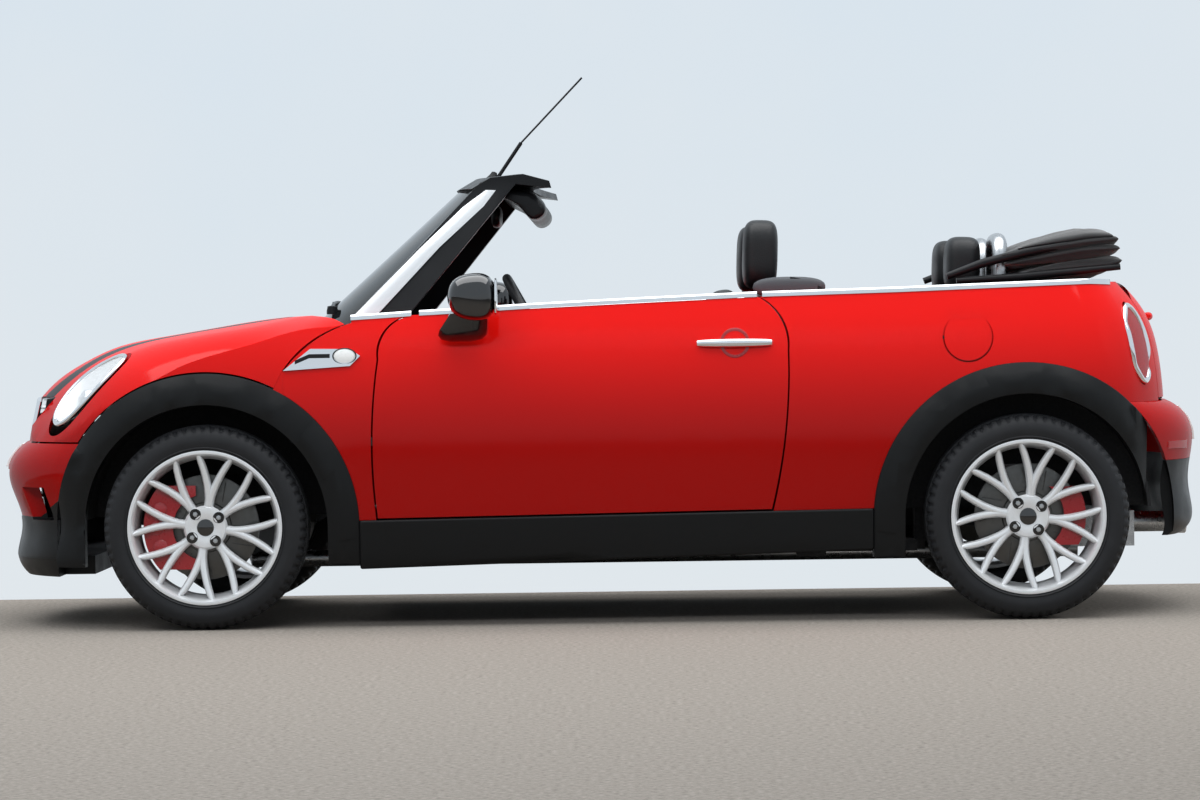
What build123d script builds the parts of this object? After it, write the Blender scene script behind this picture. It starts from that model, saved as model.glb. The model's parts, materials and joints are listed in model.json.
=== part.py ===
from build123d import *
import math
import os

# A small two-door, four-seat convertible car with its soft top folded down behind the rear seats.
# +X points to the nose, +Y to the car's left, +Z up. The origin is on the ground, at the middle of
# the overall length and width. All sizes are in millimetres.

os.makedirs("parts", exist_ok=True)

# Driving dimensions
wheelbase = 2467
nose_reach = 222             # from the front arch trim to the nose
tail_reach = 117             # from the rear arch trim to the tail
body_width = 1632            # over the painted body sides
front_track = 1459
rear_track = 1467
tyre_radius = 308            # 205/45 R17
tyre_width = 205
rim_radius = 231
arch_inner_radius = 368      # the opening in the wheel arch trim
arch_outer_radius = 462      # where the trim meets the paint
arch_proud = 25              # how far the trim stands out of the paint
belt_front_z = 929
belt_mid_z = 973
belt_rear_z = 1008
sill_top_front_z = 318
sill_top_rear_z = 343
sill_bottom_front_z = 176
sill_bottom_rear_z = 214
shut_gap = 5                 # between a moving panel and its neighbour
seat_clearance = 0.3         # between a moving piece and what carries it
wall = 110                   # a whole side wall or door, skin to trim
panel = 24                   # bonnet and bumper shells
door_length = 1250
cabin_half_width = 690
nose_exponent = 2.66         # squareness of the plan view's front corners
tail_exponent = 2.45         # and of its rear corners
corner_length = 615          # from the nose back to where the side begins
tail_corner_length = 480
bonnet_sweep = 0.00047       # how far the bonnet's front line falls back, per mm squared of half width
steer_offset = 75            # from the wheel's centre plane in to the kingpin
floor_z = 205
floor_thickness = 30

grille_half = 390
grille_top_z = 694
lower_grille_z = 330
lower_grille_top_z = 480
front_lip_top_z = 214
duct_y = 610
bumper_wall = 40
rear_split_z = 466
lamp_gap = 8                 # the bonnet passes the fixed headlamps as it opens
lamp_bottom_z = 575
arch_inner_y = 700
arch_bottom_z = 190
sill_proud = 10
lid_half = 520
lid_bottom_z = 655
hub_depth = 9                # from the wheel's centre plane in to the hub face
disc_radius = 158
disc_offset = 18
rim_width = 198              # over the flanges
rim_barrel = 222
spoke_back = 55              # spokes, from the wheel's centre plane out
spoke_front = 86
glass_thickness = 6
steering_radius = 172
steering_tilt = 28
column_gap = 60
rail_y = 387
rail_z = 380
engine_bottom_z = 300
arm_top_z = 232
upper_arm_z = 400
caliper_inner = 100
caliper_inner_rear = 110
boot_half = 585
pad_height = 14              # jacking pads under the floor
pad_y = 665
boot_floor_z = 400
front_liner_y = 440
rear_liner_y = 600
liner_bottom_z = 330
dash_half = 640
seat_y = 370
roll_y = 330
roll_half = 130              # half the width of a rollover hoop
roll_radius = 20
roll_top_z = 1130
top_half = 555               # half the width of the folded soft top
tail_pipe_y = 180
tail_pipe_z = 262
tail_pipe_radius = 32
lamp_back = 317              # headlamp centre, back from the nose
lamp_y = 585
tail_lamp_reach = 225        # tail lamp centre, ahead of the tail
tail_lamp_y = 635
tail_lamp_turn = 29          # degrees from straight back, outwards
tail_lamp_depth = 60
tail_lamp_z = 822
flap_back = 172              # fuel flap centre, ahead of the rear axle
flap_rise = 78               # and above the rear arch trim
flap_radius = 71
flap_depth = 38              # from the widest body line in to the pocket's floor
mirror_reach = 310           # door mirror, ahead of the door's front edge
bezel_height = 8
handle_height = 14

# Places worked out from them
front_overhang = arch_outer_radius + nose_reach
rear_overhang = arch_outer_radius + tail_reach
length = wheelbase + front_overhang + rear_overhang
nose_x = length / 2
tail_x = -length / 2
front_axle_x = nose_x - front_overhang
rear_axle_x = tail_x + rear_overhang
half_width = body_width / 2
front_wheel_y = front_track / 2
rear_wheel_y = rear_track / 2
door_front_x = front_axle_x - arch_outer_radius - 44
door_rear_x = door_front_x - door_length
belt_front_x = front_axle_x - 440
belt_rear_x = rear_axle_x - 200
belt_end_x = tail_x - 40
rear_floor_x = rear_axle_x + 326
rollover_x = rear_axle_x + 41
deck_z = belt_rear_z + 4
pad_front_x = front_axle_x - 621
pad_rear_x = rear_axle_x + 646
bumper_top_z = 563
rear_bumper_top_z = 645
firewall_x = front_axle_x - 426
hinge_x = door_front_x + shut_gap / 2
hinge_y = half_width
kingpin_y = front_wheel_y - steer_offset
flap_x = rear_axle_x + flap_back
flap_z = tyre_radius + arch_outer_radius + flap_rise
flap_floor_y = half_width - flap_depth
flap_hinge_x = flap_x + flap_radius + shut_gap / 2
flap_hinge_y = half_width - 24
tail_lamp_x = tail_x + tail_lamp_reach
lid_hinge_x = tail_x + 92
lid_hinge_z = (lid_bottom_z + rear_bumper_top_z) / 2
arch_seam_x = front_axle_x - 235
arch_seam_z = 772
bonnet_corner_z = 916
bonnet_mid_x = belt_front_x + 124
bonnet_mid_z = 858
lid_front_x = tail_x + 230
steering_centre = (firewall_x - 558, seat_y, 897)
deck_front_x = rear_axle_x + 30


def arc(a, b, c):
    """Arc through three points."""
    return Edge.make_three_point_arc(Vector(*a), Vector(*b), Vector(*c))


def line(a, b):
    return Edge.make_line(Vector(*a), Vector(*b))


def interpolate(table, x):
    """Smooth curve through rows of (x, value), x rising."""
    for i in range(len(table) - 1):
        if x <= table[i + 1][0] or i == len(table) - 2:
            break
    rows = [table[max(i - 1, 0)], table[i], table[i + 1], table[min(i + 2, len(table) - 1)]]
    span = rows[2][0] - rows[1][0]
    t = (x - rows[1][0]) / span
    slope_a = (rows[2][1] - rows[0][1]) / (rows[2][0] - rows[0][0]) * span
    slope_b = (rows[3][1] - rows[1][1]) / (rows[3][0] - rows[1][0]) * span
    return ((2 * t**3 - 3 * t**2 + 1) * rows[1][1] + (t**3 - 2 * t**2 + t) * slope_a
            + (3 * t**2 - 2 * t**3) * rows[2][1] + (t**3 - t**2) * slope_b)


def corner_point(start_x, end_x, half, degrees, z, exponent):
    """A point on the plan view's rounded corner, 0 degrees at the centre line."""
    t = math.radians(degrees)
    along = math.cos(t) ** (2 / exponent) if degrees < 90 else 0
    across = math.sin(t) ** (2 / exponent)
    return (start_x + (end_x - start_x) * along, half * across, z)


def plan_wire(z, half, front_x, rear_x):
    """The outline of the body at one height: nose, corners, straight sides and tail."""
    front_start = nose_x - corner_length
    rear_start = tail_x + tail_corner_length
    stops = (28, 42, 56, 73, 90)
    f = [corner_point(front_start, front_x, half, d, z, nose_exponent) for d in stops]
    r = [corner_point(rear_start, rear_x, half, d, z, tail_exponent) for d in stops]

    def flip(p):
        return (p[0], -p[1], p[2])

    edges = [
        arc(flip(f[0]), (front_x, 0, z), f[0]),
        arc(f[0], f[1], f[2]),
        arc(f[2], f[3], f[4]),
        line(f[4], r[4]),
        arc(r[4], r[3], r[2]),
        arc(r[2], r[1], r[0]),
        arc(r[0], (rear_x, 0, z), flip(r[0])),
        arc(flip(r[0]), flip(r[1]), flip(r[2])),
        arc(flip(r[2]), flip(r[3]), flip(r[4])),
        line(flip(r[4]), flip(f[4])),
        arc(flip(f[4]), flip(f[3]), flip(f[2])),
        arc(flip(f[2]), flip(f[1]), flip(f[0])),
    ]
    return Wire(edges)


# Each level: height, how far the side, the nose and the tail stand in from the overall sizes
BODY_LEVELS = (
    (150, 45, 100, 120),
    (300, 16, 80, 97),
    (430, 5, 71, 93),
    (565, 0, 68, 91),
    (700, 4, 98, 95),
    (800, 15, 128, 108),
    (880, 32, 165, 130),
    (950, 54, 205, 170),
    (1020, 80, 250, 235),
)
# The front and rear bumpers stand out further than the body above them
FRONT_BUMPER_LEVELS = (
    (186, 40, 34),
    (214, 30, 26),
    (277, 20, 39),
    (382, 10, 24),
    (497, 4, 4),
    (bumper_top_z, 0, 62),
)
REAR_BUMPER_LEVELS = (
    (235, 36, 41),
    (300, 20, 2),
    (440, 10, 12),
    (520, 6, 0),
    (590, 3, 16),
    (rear_bumper_top_z, 0, 84),
)
FRONT_LIP_LEVELS = (
    (157, 60, 55),
    (186, 40, 34),
    (front_lip_top_z, 30, 26),
)
# Windscreen: centre x and z, then x, y and z at the side, at its foot and at its top
SCREEN_ROWS = (
    (firewall_x + 113, 940, firewall_x - 28, 640, 902),
    (firewall_x - 321, 1329, firewall_x - 387, 540, 1319),
)
pillar_foot_z = 938
# Bonnet height along the centre line
BONNET_LINE = (
    (belt_front_x - 250, 966),
    (belt_front_x, 958),
    (front_axle_x - 195, 942),
    (front_axle_x - 10, 916),
    (front_axle_x + 85, 902),
    (front_axle_x + 245, 876),
    (nose_x - 344, 855),
    (nose_x - 280, 828),
    (nose_x - 216, 796),
    (nose_x - 151, 752),
    (nose_x - 100, 700),
    (nose_x - 44, 620),
    (nose_x + 216, 240),
)


def bonnet_height(x, y):
    shoulder = max(0, abs(y) - 600) / 216
    ahead = min(1, max(0, (x - belt_front_x) / 450))
    return interpolate(BONNET_LINE, x + bonnet_sweep * y * y) - (25 + 35 * ahead) * shoulder**2.2


def shell_loft(levels, offset=0):
    """Solid through the plan outlines, grown by offset."""
    wires = [
        plan_wire(z, half_width - inset + offset, nose_x - front_in + offset, tail_x + rear_in - offset)
        for z, inset, front_in, rear_in in levels
    ]
    return Solid.make_loft(wires)


def bonnet_cap(offset=0):
    """Everything under the bonnet's top surface."""
    low, edge, crown, mid = 120, 860, 560, 710
    wires = []
    for x in (belt_front_x - 60, belt_front_x + 90, front_axle_x - 150, front_axle_x + 30,
              front_axle_x + 200, nose_x - 344, nose_x - 234, nose_x - 144, nose_x - 74, nose_x - 24):
        def at(y):
            return (x, y, bonnet_height(x, y) + offset)
        wires.append(Wire([
            arc(at(-crown), at(0), at(crown)),
            arc(at(crown), at(mid), at(edge)),
            line(at(edge), (x, edge, low)),
            line((x, edge, low), (x, -edge, low)),
            line((x, -edge, low), at(-edge)),
            arc(at(-edge), at(-mid), at(-crown)),
        ]))
    return Solid.make_loft(wires)


def side_prism(edges, y0, y1):
    """Closed outline in the side view, from y0 to y1."""
    face = Face(Wire(edges))
    return extrude(Pos(0, y0, 0) * face, amount=y1 - y0, dir=(0, 1, 0))


def block(x0, x1, y0, y1, z0, z1):
    return Pos((x0 + x1) / 2, (y0 + y1) / 2, (z0 + z1) / 2) * Box(x1 - x0, y1 - y0, z1 - z0)


def cylinder_y(x, z, radius, y0, y1):
    return Pos(x, (y0 + y1) / 2, z) * Rot(90, 0, 0) * Cylinder(radius, y1 - y0)


def both(shape):
    """The left piece and its mirror image, as solids that don't touch."""
    return Compound(list(shape.solids()) + list(mirror(shape, Plane.XZ).solids()))


def belt_z(x):
    """Height of the belt line, an arc through its three stated points."""
    a, b = belt_front_x, belt_rear_x
    m = (a + b) / 2
    return (belt_front_z * (x - m) * (x - b) / ((a - m) * (a - b))
            + belt_mid_z * (x - a) * (x - b) / ((m - a) * (m - b))
            + belt_rear_z * (x - a) * (x - m) / ((b - a) * (b - m)))


def sill_top_z(x):
    run = (front_axle_x - x) / wheelbase
    return sill_top_front_z + (sill_top_rear_z - sill_top_front_z) * run


def above_belt(drop=0):
    """All that is cut away above the belt line behind the bonnet."""
    mid = (belt_front_x + belt_end_x) / 2
    a = (belt_front_x, 0, belt_z(belt_front_x) - drop)
    b = (mid, 0, belt_z(mid) - drop)
    c = (belt_end_x, 0, belt_z(belt_end_x) - drop)
    top = 1300
    return side_prism([arc(a, b, c), line(c, (belt_end_x, 0, top)),
                       line((belt_end_x, 0, top), (belt_front_x, 0, top)),
                       line((belt_front_x, 0, top), a)], -1000, 1000)


def door_edges(grow=0):
    """Side view of the left door's opening, grown by the shut gap for its neighbours."""
    fx, rx = door_front_x + grow, door_rear_x - grow
    low_f, low_r = sill_top_z(fx) - grow, sill_top_z(rx) - grow
    top_f, top_r = (fx - 132, 0, 1100), (rx + 87, 0, 1100)
    f0 = (fx - 132, 0, belt_z(fx - 132))
    f1, f2 = (fx - 55, 0, 903 + grow * 0.5), (fx - 20, 0, 804)
    f3, f4 = (fx, 0, 560), (fx - 13, 0, low_f)
    r0 = (rx + 87, 0, belt_z(rx + 87))
    r1, r2 = (rx + 30, 0, 925 + grow * 0.5), (rx + 2, 0, 817)
    r3, r4 = (rx + 7, 0, 640), (rx + 57, 0, low_r)
    return [line(top_f, f0), arc(f0, f1, f2), arc(f2, f3, f4), line(f4, r4),
            arc(r4, r3, r2), arc(r2, r1, r0), line(r0, top_r), line(top_r, top_f)]


def bonnet_edges(grow=0):
    """Side view of the bonnet, whose back edge runs down to the front arch."""
    back_x, arch_x = belt_front_x + grow, arch_seam_x + grow
    low = bumper_top_z + shut_gap - grow
    far_x = nose_x + 60
    return [line((far_x, 0, low), (far_x, 0, 1100)),
            line((far_x, 0, 1100), (back_x, 0, 1100)),
            line((back_x, 0, 1100), (back_x, 0, bonnet_corner_z)),
            arc((back_x, 0, bonnet_corner_z), (bonnet_mid_x, 0, bonnet_mid_z), (arch_x, 0, arch_seam_z)),
            line((arch_x, 0, arch_seam_z), (arch_x + 100, 0, low)),
            line((arch_x + 100, 0, low), (far_x, 0, low))]


def lamp_prism(grow=0):
    """Plan view outline of the left headlamp, straight up."""
    lamp = Ellipse(125 + grow, 98 + grow)
    return Pos(nose_x - lamp_back, lamp_y, 400) * Rot(0, 0, -22) * extrude(lamp, amount=700)


# The outer body
body_hull = shell_loft(BODY_LEVELS)
fore_body = body_hull & bonnet_cap()
aft_body = body_hull - above_belt()
trim_hull = shell_loft(BODY_LEVELS, arch_proud)
panel_hull = shell_loft(BODY_LEVELS, -panel)
wall_hull = shell_loft(BODY_LEVELS, -wall)
under_cap = bonnet_cap(-panel)


def arch_prism(axle_x, radius, y0, y1):
    """A wheel arch's opening: round above the axle, straight below it."""
    z = tyre_radius
    a, b = (axle_x + radius, 0, z), (axle_x - radius, 0, z)
    low_a, low_b = (axle_x + radius, 0, 60), (axle_x - radius, 0, 60)
    return side_prism([arc(a, (axle_x, 0, z + radius), b), line(b, low_b), line(low_b, low_a),
                       line(low_a, a)], y0, y1)


def arches(radius, inner_y=560):
    """All four arch openings, to be cut from a panel."""
    left = [arch_prism(x, radius, inner_y, 1000) for x in (front_axle_x, rear_axle_x)]
    return left + [mirror(s, Plane.XZ) for s in left]


def bonnet_back(gap):
    """Plan view of all that lies behind the bonnet's curved rear edge."""
    side, mid = belt_front_x - gap, front_axle_x - 200 - gap
    return [arc((side, 800, 0), (mid, 0, 0), (side, -800, 0)),
            line((side, -800, 0), (0, -800, 0)), line((0, -800, 0), (0, 800, 0)),
            line((0, 800, 0), (side, 800, 0))]


def plan_prism(edges, z0, z1):
    return extrude(Pos(0, 0, z0) * Face(Wire(edges)), amount=z1 - z0, dir=(0, 0, 1))


def make_bonnet():
    shell = fore_body - (panel_hull & under_cap)
    shell = shell & side_prism(bonnet_edges(), -1000, 1000)
    shell = shell - plan_prism(bonnet_back(0), 0, 1300)
    grille = block(nose_x - 330, nose_x + 100, -grille_half - 8, grille_half + 8, 500, grille_top_z + 8)
    shell = shell - grille - lamp_prism(lamp_gap) - mirror(lamp_prism(lamp_gap), Plane.XZ)
    return shell - arches(arch_outer_radius + shut_gap)


def make_scuttle_panels():
    """The painted side between door, bonnet and front wheel arch."""
    back, low = door_front_x - 200, sill_top_z(front_axle_x)
    edge = arch_seam_x - shut_gap
    side = aft_body & side_prism(
        [line((back, 0, 1100), (belt_front_x - shut_gap, 0, 1100)),
         line((belt_front_x - shut_gap, 0, 1100), (belt_front_x - shut_gap, 0, bonnet_corner_z)),
         arc((belt_front_x - shut_gap, 0, bonnet_corner_z), (bonnet_mid_x, 0, bonnet_mid_z - 7),
             (edge, 0, arch_seam_z)),
         line((edge, 0, arch_seam_z), (edge, 0, low)),
         line((edge, 0, low), (back, 0, low)),
         line((back, 0, low), (back, 0, 1100))],
        cabin_half_width, 1000)
    side = side - side_prism(door_edges(shut_gap), 0, 1000)
    side = side & block(door_front_x - 125, nose_x, 0, 1000, 0, 1300)
    side = side - below_sill()
    return both(side - arches(arch_outer_radius + seat_clearance))


def below_sill():
    front, rear = belt_front_x + 300, rear_axle_x
    a, b = (front, 0, sill_top_z(front) + seat_clearance), (rear, 0, sill_top_z(rear) + seat_clearance)
    return side_prism([line(a, b), line(b, (rear, 0, 50)), line((rear, 0, 50), (front, 0, 50)),
                       line((front, 0, 50), a)], -1000, 1000)


def make_door():
    door = aft_body & side_prism(door_edges(), cabin_half_width, 1000)
    return door - below_sill_gap()


def below_sill_gap():
    front, rear = belt_front_x + 300, rear_axle_x
    a, b = (front, 0, sill_top_z(front) + shut_gap), (rear, 0, sill_top_z(rear) + shut_gap)
    return side_prism([line(a, b), line(b, (rear, 0, 50)), line((rear, 0, 50), (front, 0, 50)),
                       line((front, 0, 50), a)], -1000, 1000)


def door_hinge():
    """Pin in the gap ahead of the door, on the body's side of it."""
    radius = shut_gap / 2 - seat_clearance
    return Pos(hinge_x, hinge_y, 560) * Cylinder(radius, 26)


def make_hinges():
    """Pins in the shut gaps, on the axes of the doors, the fuel flap and the drop-down boot lid."""
    radius = shut_gap / 2 - seat_clearance
    flap = Pos(flap_hinge_x, flap_hinge_y, flap_z) * Cylinder(radius, 10)
    lid_radius = (lid_bottom_z - rear_bumper_top_z) / 2 - seat_clearance
    lid = cylinder_y(lid_hinge_x, lid_hinge_z, lid_radius, -90, 90)
    return Compound([s for piece in (door_hinge(), mirror(door_hinge(), Plane.XZ), flap, lid)
                     for s in piece.solids()])


def make_bonnet_buffers():
    """Rubber stops on the bumper's top that the closed bonnet rests on."""
    return both(block(nose_x - 133, nose_x - 119, 440, 460, bumper_top_z,
                      bumper_top_z + shut_gap - seat_clearance))


def make_quarter_panels():
    """The painted rear sides, with the cabin and the boot open between them."""
    side = aft_body & block(tail_x, door_rear_x + 87, 0, 1000, 0, 1300)
    side = side - side_prism(door_edges(shut_gap), 0, 1000)
    inside = wall_hull & block(tail_x, nose_x, 0, cabin_half_width, 0, 1300)
    side = side - inside - below_sill()
    side = side - block(tail_x - 50, rear_axle_x - 100, 0, 1000, 0, rear_bumper_top_z + seat_clearance)
    side = side - block(tail_x - 50, tail_x + 400, 0, lid_half + shut_gap, 0, 1300)
    side = side - tail_lamp_prism(seat_clearance)
    side = side - arches(arch_outer_radius + seat_clearance)
    pocket = cylinder_y(flap_x, flap_z, flap_radius + shut_gap, flap_floor_y, 1000)
    right = mirror(side, Plane.XZ)
    return Compound(list((side - pocket).solids()) + list(right.solids()))


def make_fuel_flap():
    return aft_body & cylinder_y(flap_x, flap_z, flap_radius, flap_floor_y + seat_clearance, 1000)


def make_tailgate():
    lid = aft_body & block(tail_x - 50, tail_x + 400, -lid_half, lid_half, lid_bottom_z, 1300)
    lid = lid - wall_hull
    return lid & block(tail_x - 50, lid_front_x, -lid_half, lid_half, lid_bottom_z, 1300)


def make_rear_deck():
    """Closes the body above the boot, under the folded top."""
    return wall_hull & block(lid_front_x + shut_gap, deck_front_x, -cabin_half_width, cabin_half_width,
                             deck_z - 60, deck_z)


def tail_lamp_prism(grow=0):
    """The left tail lamp's outline, carried out through the corner of the body."""
    t = math.radians(tail_lamp_turn)
    out = Vector(-math.cos(t), math.sin(t), 0)
    start = Vector(tail_lamp_x, tail_lamp_y, tail_lamp_z) - out * (tail_lamp_depth + grow)
    plane = Plane(origin=start, x_dir=Vector(math.sin(t), math.cos(t), 0), z_dir=out)
    return extrude(plane * Ellipse(64 + grow, 126 + grow), amount=300)


def make_tail_lamps():
    lamp = aft_body & tail_lamp_prism()
    return both(lamp)


def make_headlamps():
    lamp = fore_body & lamp_prism() & block(0, nose_x, 0, 1000, lamp_bottom_z, 1300)
    lamp = lamp - cylinder_y(front_axle_x, tyre_radius, arch_inner_radius + 15, 0, 1000)
    return both(lamp)


def bumper_loft(levels, offset=0, reach=0):
    wires = []
    for i, (z, inset, end_in) in enumerate(levels):
        if reach and i in (0, len(levels) - 1):
            z += reach if i else -reach
        front = nose_x - end_in + offset
        rear = tail_x + end_in - offset
        wires.append(plan_wire(z, half_width - inset + offset, front, rear))
    return Solid.make_loft(wires)


def make_front_bumper():
    shell = bumper_loft(FRONT_BUMPER_LEVELS) - bumper_loft(FRONT_BUMPER_LEVELS, -bumper_wall, 30)
    shell = shell & block(front_axle_x + 100, nose_x + 50, -1000, 1000, front_lip_top_z, bumper_top_z)
    shell = shell - block(nose_x - 330, nose_x + 100, -grille_half, grille_half, lower_grille_z,
                          lower_grille_top_z)
    for y in (duct_y, -duct_y):
        shell = shell - block(nose_x - 330, nose_x + 100, y - 55, y + 55, 330, 430)
    return shell - arches(arch_outer_radius + seat_clearance)


def make_front_valance():
    """The black lip under the bumper and its floor."""
    ahead = block(front_axle_x + arch_inner_radius + 4, nose_x + 50, -1000, 1000, 0,
                  front_lip_top_z - seat_clearance)
    lip = bumper_loft(FRONT_LIP_LEVELS) & ahead
    return lip - arches(arch_outer_radius + seat_clearance, 480)


def make_rear_bumper():
    shell = bumper_loft(REAR_BUMPER_LEVELS) - bumper_loft(REAR_BUMPER_LEVELS, -bumper_wall, 30)
    shell = shell & block(tail_x - 50, rear_axle_x - 100, -1000, 1000, rear_split_z, rear_bumper_top_z)
    return shell - arches(arch_outer_radius + seat_clearance)


def make_rear_valance():
    shell = bumper_loft(REAR_BUMPER_LEVELS) - bumper_loft(REAR_BUMPER_LEVELS, -bumper_wall, 30)
    shell = shell & block(tail_x - 50, rear_axle_x - 100, -1000, 1000, 0, rear_split_z - seat_clearance)
    pipe_hole = Rot(0, 90, 0) * Cylinder(tail_pipe_radius + 4, 500)
    shell = shell - Pos(tail_x, tail_pipe_y, tail_pipe_z) * pipe_hole
    return shell - arches(arch_outer_radius + seat_clearance)


def make_grille():
    slab = shell_loft(BODY_LEVELS, -30) - shell_loft(BODY_LEVELS, -50)
    slab = slab & block(nose_x - 330, nose_x + 50, -grille_half, grille_half, lower_grille_z, grille_top_z)
    for y in (250, -250):
        slab = slab + block(nose_x - 195, nose_x - 125, y - 20, y + 20, rail_z - 20, rail_z + 20)
    return slab


def make_arch_trims(axle_x):
    ring = arch_prism(axle_x, arch_outer_radius, arch_inner_y, 1000)
    ring = ring - arch_prism(axle_x, arch_inner_radius, 0, 1100)
    ring = ring & block(tail_x - 100, nose_x + 100, 0, 1000, arch_bottom_z, 1300)
    return both(ring & trim_hull)


def make_sills():
    front, rear = front_axle_x - arch_outer_radius, rear_axle_x + arch_outer_radius
    f, r = front - seat_clearance, rear + seat_clearance
    a, b = (f, 0, sill_top_z(f)), (r, 0, sill_top_z(r))
    c, d = (r, 0, sill_bottom_rear_z), (f, 0, sill_bottom_front_z)
    sill = side_prism([line(a, b), line(b, c), line(c, d), line(d, a)], cabin_half_width, 1000)
    return both(sill & shell_loft(BODY_LEVELS, sill_proud))


# The structure and what it carries
def make_floor_pan():
    main = block(rear_floor_x, firewall_x + 20, -cabin_half_width, cabin_half_width, floor_z,
                 floor_z + floor_thickness)
    boot_top = boot_floor_z + floor_thickness
    riser = block(rear_floor_x - 30, rear_floor_x, -boot_half, boot_half, floor_z, boot_top)
    boot = block(tail_x + 190, rear_floor_x - 30, -boot_half, boot_half, boot_floor_z, boot_top)
    pads = [block(x - 45, x + 45, y - 20, y + 20, floor_z - pad_height, floor_z)
            for x in (pad_front_x, pad_rear_x) for y in (pad_y, -pad_y)]
    return main + riser + boot + pads[0] + pads[1] + pads[2] + pads[3]


def make_firewall():
    return block(firewall_x, firewall_x + 20, -cabin_half_width, cabin_half_width,
                 floor_z + floor_thickness, 880)


def make_front_rails():
    """Two rails past the engine with the crash beam across their ends."""
    rails = [block(firewall_x + 20, nose_x - 230, y - 37, y + 37, rail_z - 50, rail_z + 50)
             for y in (rail_y, -rail_y)]
    beam = block(nose_x - 230, nose_x - 195, -500, 500, rail_z - 50, rail_z + 50)
    return rails[0] + rails[1] + beam


def make_wheelhouses():
    """The liners over the wheels."""
    liners = []
    for x, inner_y in ((front_axle_x, front_liner_y), (rear_axle_x, rear_liner_y)):
        outside = cylinder_y(x, tyre_radius, arch_inner_radius + 14, inner_y - 10, arch_inner_y - 0.5)
        ring = outside - cylinder_y(x, tyre_radius, arch_inner_radius + 4, inner_y, 1000)
        ring = ring - block(x - 70, x + 70, inner_y - 20, inner_y + 1, 0, upper_arm_z + 60)
        liners.append(ring & block(x - 500, x + 500, 0, 1000, liner_bottom_z, 1300))
    return Compound([s for l in liners for s in l.solids()]
                    + [s for l in liners for s in mirror(l, Plane.XZ).solids()])


def make_engine():
    return block(front_axle_x - 300, front_axle_x + 300, -rail_y + 37, rail_y - 37, engine_bottom_z, 790)


def make_subframes():
    """Front cross member with its arms, and the rear beam with its trailing arms."""
    plate = block(front_axle_x - 110, front_axle_x + 110, -rail_y - 37, rail_y + 37, 205, engine_bottom_z)
    foot = [block(front_axle_x - 60, front_axle_x + 60, y - 37, y + 37, engine_bottom_z, rail_z - 50)
            for y in (rail_y, -rail_y)]
    front = plate + foot[0] + foot[1]
    for side in (1, -1):
        y0, y1 = side * (rail_y + 36), side * kingpin_y
        front += block(front_axle_x - 20, front_axle_x + 20, min(y0, y1), max(y0, y1), 205, arm_top_z)
        front += Pos(front_axle_x, y1, (205 + arm_top_z) / 2) * Cylinder(24, arm_top_z - 205)
    uppers = []
    for side in (1, -1):
        y0, y1 = side * (rail_y + 37), side * kingpin_y
        upper = block(front_axle_x - 20, front_axle_x + 20, min(y0, y1), max(y0, y1), upper_arm_z,
                      upper_arm_z + 24)
        uppers.append(upper + Pos(front_axle_x, y1, upper_arm_z + 12) * Cylinder(24, 24))
    reach = rear_wheel_y - hub_depth - seat_clearance
    rear = block(rear_axle_x - 40, rear_axle_x + 40, -reach + 20, reach - 20, 270, 346)
    rear += cylinder_y(rear_axle_x, tyre_radius, 45, -reach, reach)
    for side in (1, -1):
        y0, y1 = side * (reach - 22), side * (reach - 8)
        rear += block(rear_axle_x - caliper_inner_rear - 8, rear_axle_x, min(y0, y1), max(y0, y1),
                      tyre_radius - 25, tyre_radius + 25)
        rear += block(rear_axle_x, rear_floor_x - 30, side * 460 - 20, side * 460 + 20, 270, 310)
    return Compound([front] + [s for u in uppers for s in u.solids()] + list(rear.solids()))


def make_knuckle():
    bottom, top = arm_top_z + seat_clearance, upper_arm_z - seat_clearance
    post = Pos(front_axle_x, kingpin_y, (bottom + top) / 2) * Cylinder(22, top - bottom)
    face = front_wheel_y - hub_depth - seat_clearance
    hub = cylinder_y(front_axle_x, tyre_radius, 45, kingpin_y, face)
    bracket = block(front_axle_x, front_axle_x + caliper_inner + 8, face - 22, face - 8,
                    tyre_radius - 30, tyre_radius + 30)
    return post + hub + bracket


def make_caliper(axle_x, wheel_y, direction, inner, outer, half_angle):
    """A slice of a ring around the disc's edge, with the disc's slot through it."""
    face = wheel_y - hub_depth - seat_clearance
    y0, y1 = face - 8, face + 62
    ring = cylinder_y(axle_x, tyre_radius, outer, y0, y1)
    ring = ring - cylinder_y(axle_x, tyre_radius, inner, y0 - 1, y1 + 1)
    dz = outer * math.sin(math.radians(half_angle))
    low, high = (axle_x + 30, axle_x + 300) if direction > 0 else (axle_x - 300, axle_x - 30)
    ring = ring & block(low, high, y0, y1, tyre_radius - dz, tyre_radius + dz)
    slot = cylinder_y(axle_x, tyre_radius, disc_radius + 4, face + disc_offset - 5, face + disc_offset + 25)
    return ring - slot


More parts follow.
